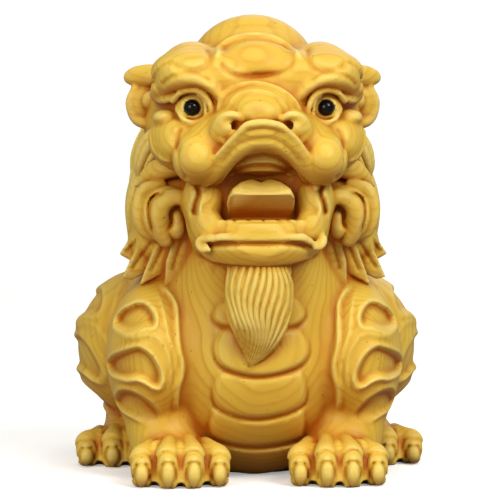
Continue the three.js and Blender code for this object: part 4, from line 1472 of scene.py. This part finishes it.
class QILIN_OT_stage(bpy.types.Operator):
    """Lay the pale floor and set the soft lights and the camera."""

    bl_idname = "qilin.stage"
    bl_label = "Set the stage"

    def execute(self, context):
        turns = [2 * math.pi * i / FLOOR_SIDES for i in range(FLOOR_SIDES)]
        rim = [(FLOOR_REACH * math.cos(turn), FLOOR_REACH * math.sin(turn), 0) for turn in turns]
        mesh = bpy.data.meshes.new("studio_floor")
        mesh.from_pydata(rim, [], [range(FLOOR_SIDES)])
        mesh.materials.append(self.paper(context.scene.qilin_carving))
        shown("studio_floor", mesh)
        aim = Vector(CAMERA["aim"])
        for name, (at, size, power, colour) in LIGHTS.items():
            lamp = bpy.data.lights.new(name, "AREA")
            lamp.size, lamp.energy, lamp.color = size, power, colour
            placed(name, lamp, at, Vector(at) - aim)
        self.surround(context)
        context.scene.view_settings.view_transform = "Standard"
        turn, tilt = math.radians(CAMERA["azimuth"]), math.radians(CAMERA["elevation"])
        back = Vector((math.sin(turn) * math.cos(tilt), -math.cos(turn) * math.cos(tilt), math.sin(tilt)))
        lens = bpy.data.cameras.new("picture_camera")
        lens.lens, lens.clip_start = CAMERA["lens"], NEAREST_SEEN
        context.scene.camera = placed("picture_camera", lens, aim + CAMERA["distance"] * back, back)
        return {"FINISHED"}

    def paper(self, sizes):
        """White paper to the eye that throws only a little light back up."""
        made, nodes, surface = fresh_material("pale_floor")
        seen = nodes.add("ShaderNodeLightPath").outputs["Is Camera Ray"]
        colour, glow = nodes.mix(seen, FLOOR_THROWS, tuple(sizes.floor)), nodes.times(seen, FLOOR_GLOW)
        nodes.feed(surface, {"Base Color": colour, "Emission Strength": glow, **PAPER})
        return made

    def surround(self, context):
        """A white surround that gives only a little light of its own."""
        world = bpy.data.worlds.new("studio")
        world.use_nodes = True
        nodes = Nodes(world.node_tree)
        seen = nodes.add("ShaderNodeLightPath").outputs["Is Camera Ray"]
        strength = nodes.plus(nodes.times(seen, SKY_SEEN), SKY_LIGHT)
        sky = world.node_tree.nodes["Background"]
        nodes.feed(sky.inputs, {"Color": (1, 1, 1, 1), "Strength": strength})
        context.scene.world = world


class QILIN_PT_panel(bpy.types.Panel):
    """The steps and sizes of the carved qilin."""

    bl_idname = "QILIN_PT_panel"
    bl_label = "Carved qilin"
    bl_space_type = "VIEW_3D"
    bl_region_type = "UI"
    bl_category = "Qilin"

    def draw(self, context):
        """Shows every size and colour, then a button for each step."""
        sizes = context.scene.qilin_carving
        for name in sizes.bl_rna.properties.keys():
            if name not in ("rna_type", "name"):
                self.layout.prop(sizes, name)
        for step in STEPS:
            self.layout.operator(step.bl_idname)


STEPS = (QILIN_OT_carving, QILIN_OT_beads, QILIN_OT_stage)
CLASSES = (QILIN_PG_carving, *STEPS, QILIN_PT_panel)


def register():
    """Adds the classes and the scene's settings."""
    for kind in CLASSES:
        bpy.utils.register_class(kind)
    bpy.types.Scene.qilin_carving = bpy.props.PointerProperty(type=QILIN_PG_carving)


def unregister():
    """Takes the settings and the classes away again."""
    del bpy.types.Scene.qilin_carving
    for kind in reversed(CLASSES):
        bpy.utils.unregister_class(kind)


def main():
    """Builds the qilin and its stage."""
    register()
    bpy.ops.qilin.carving()
    bpy.ops.qilin.beads()
    bpy.ops.qilin.stage()


if __name__ == "__main__":
    main()
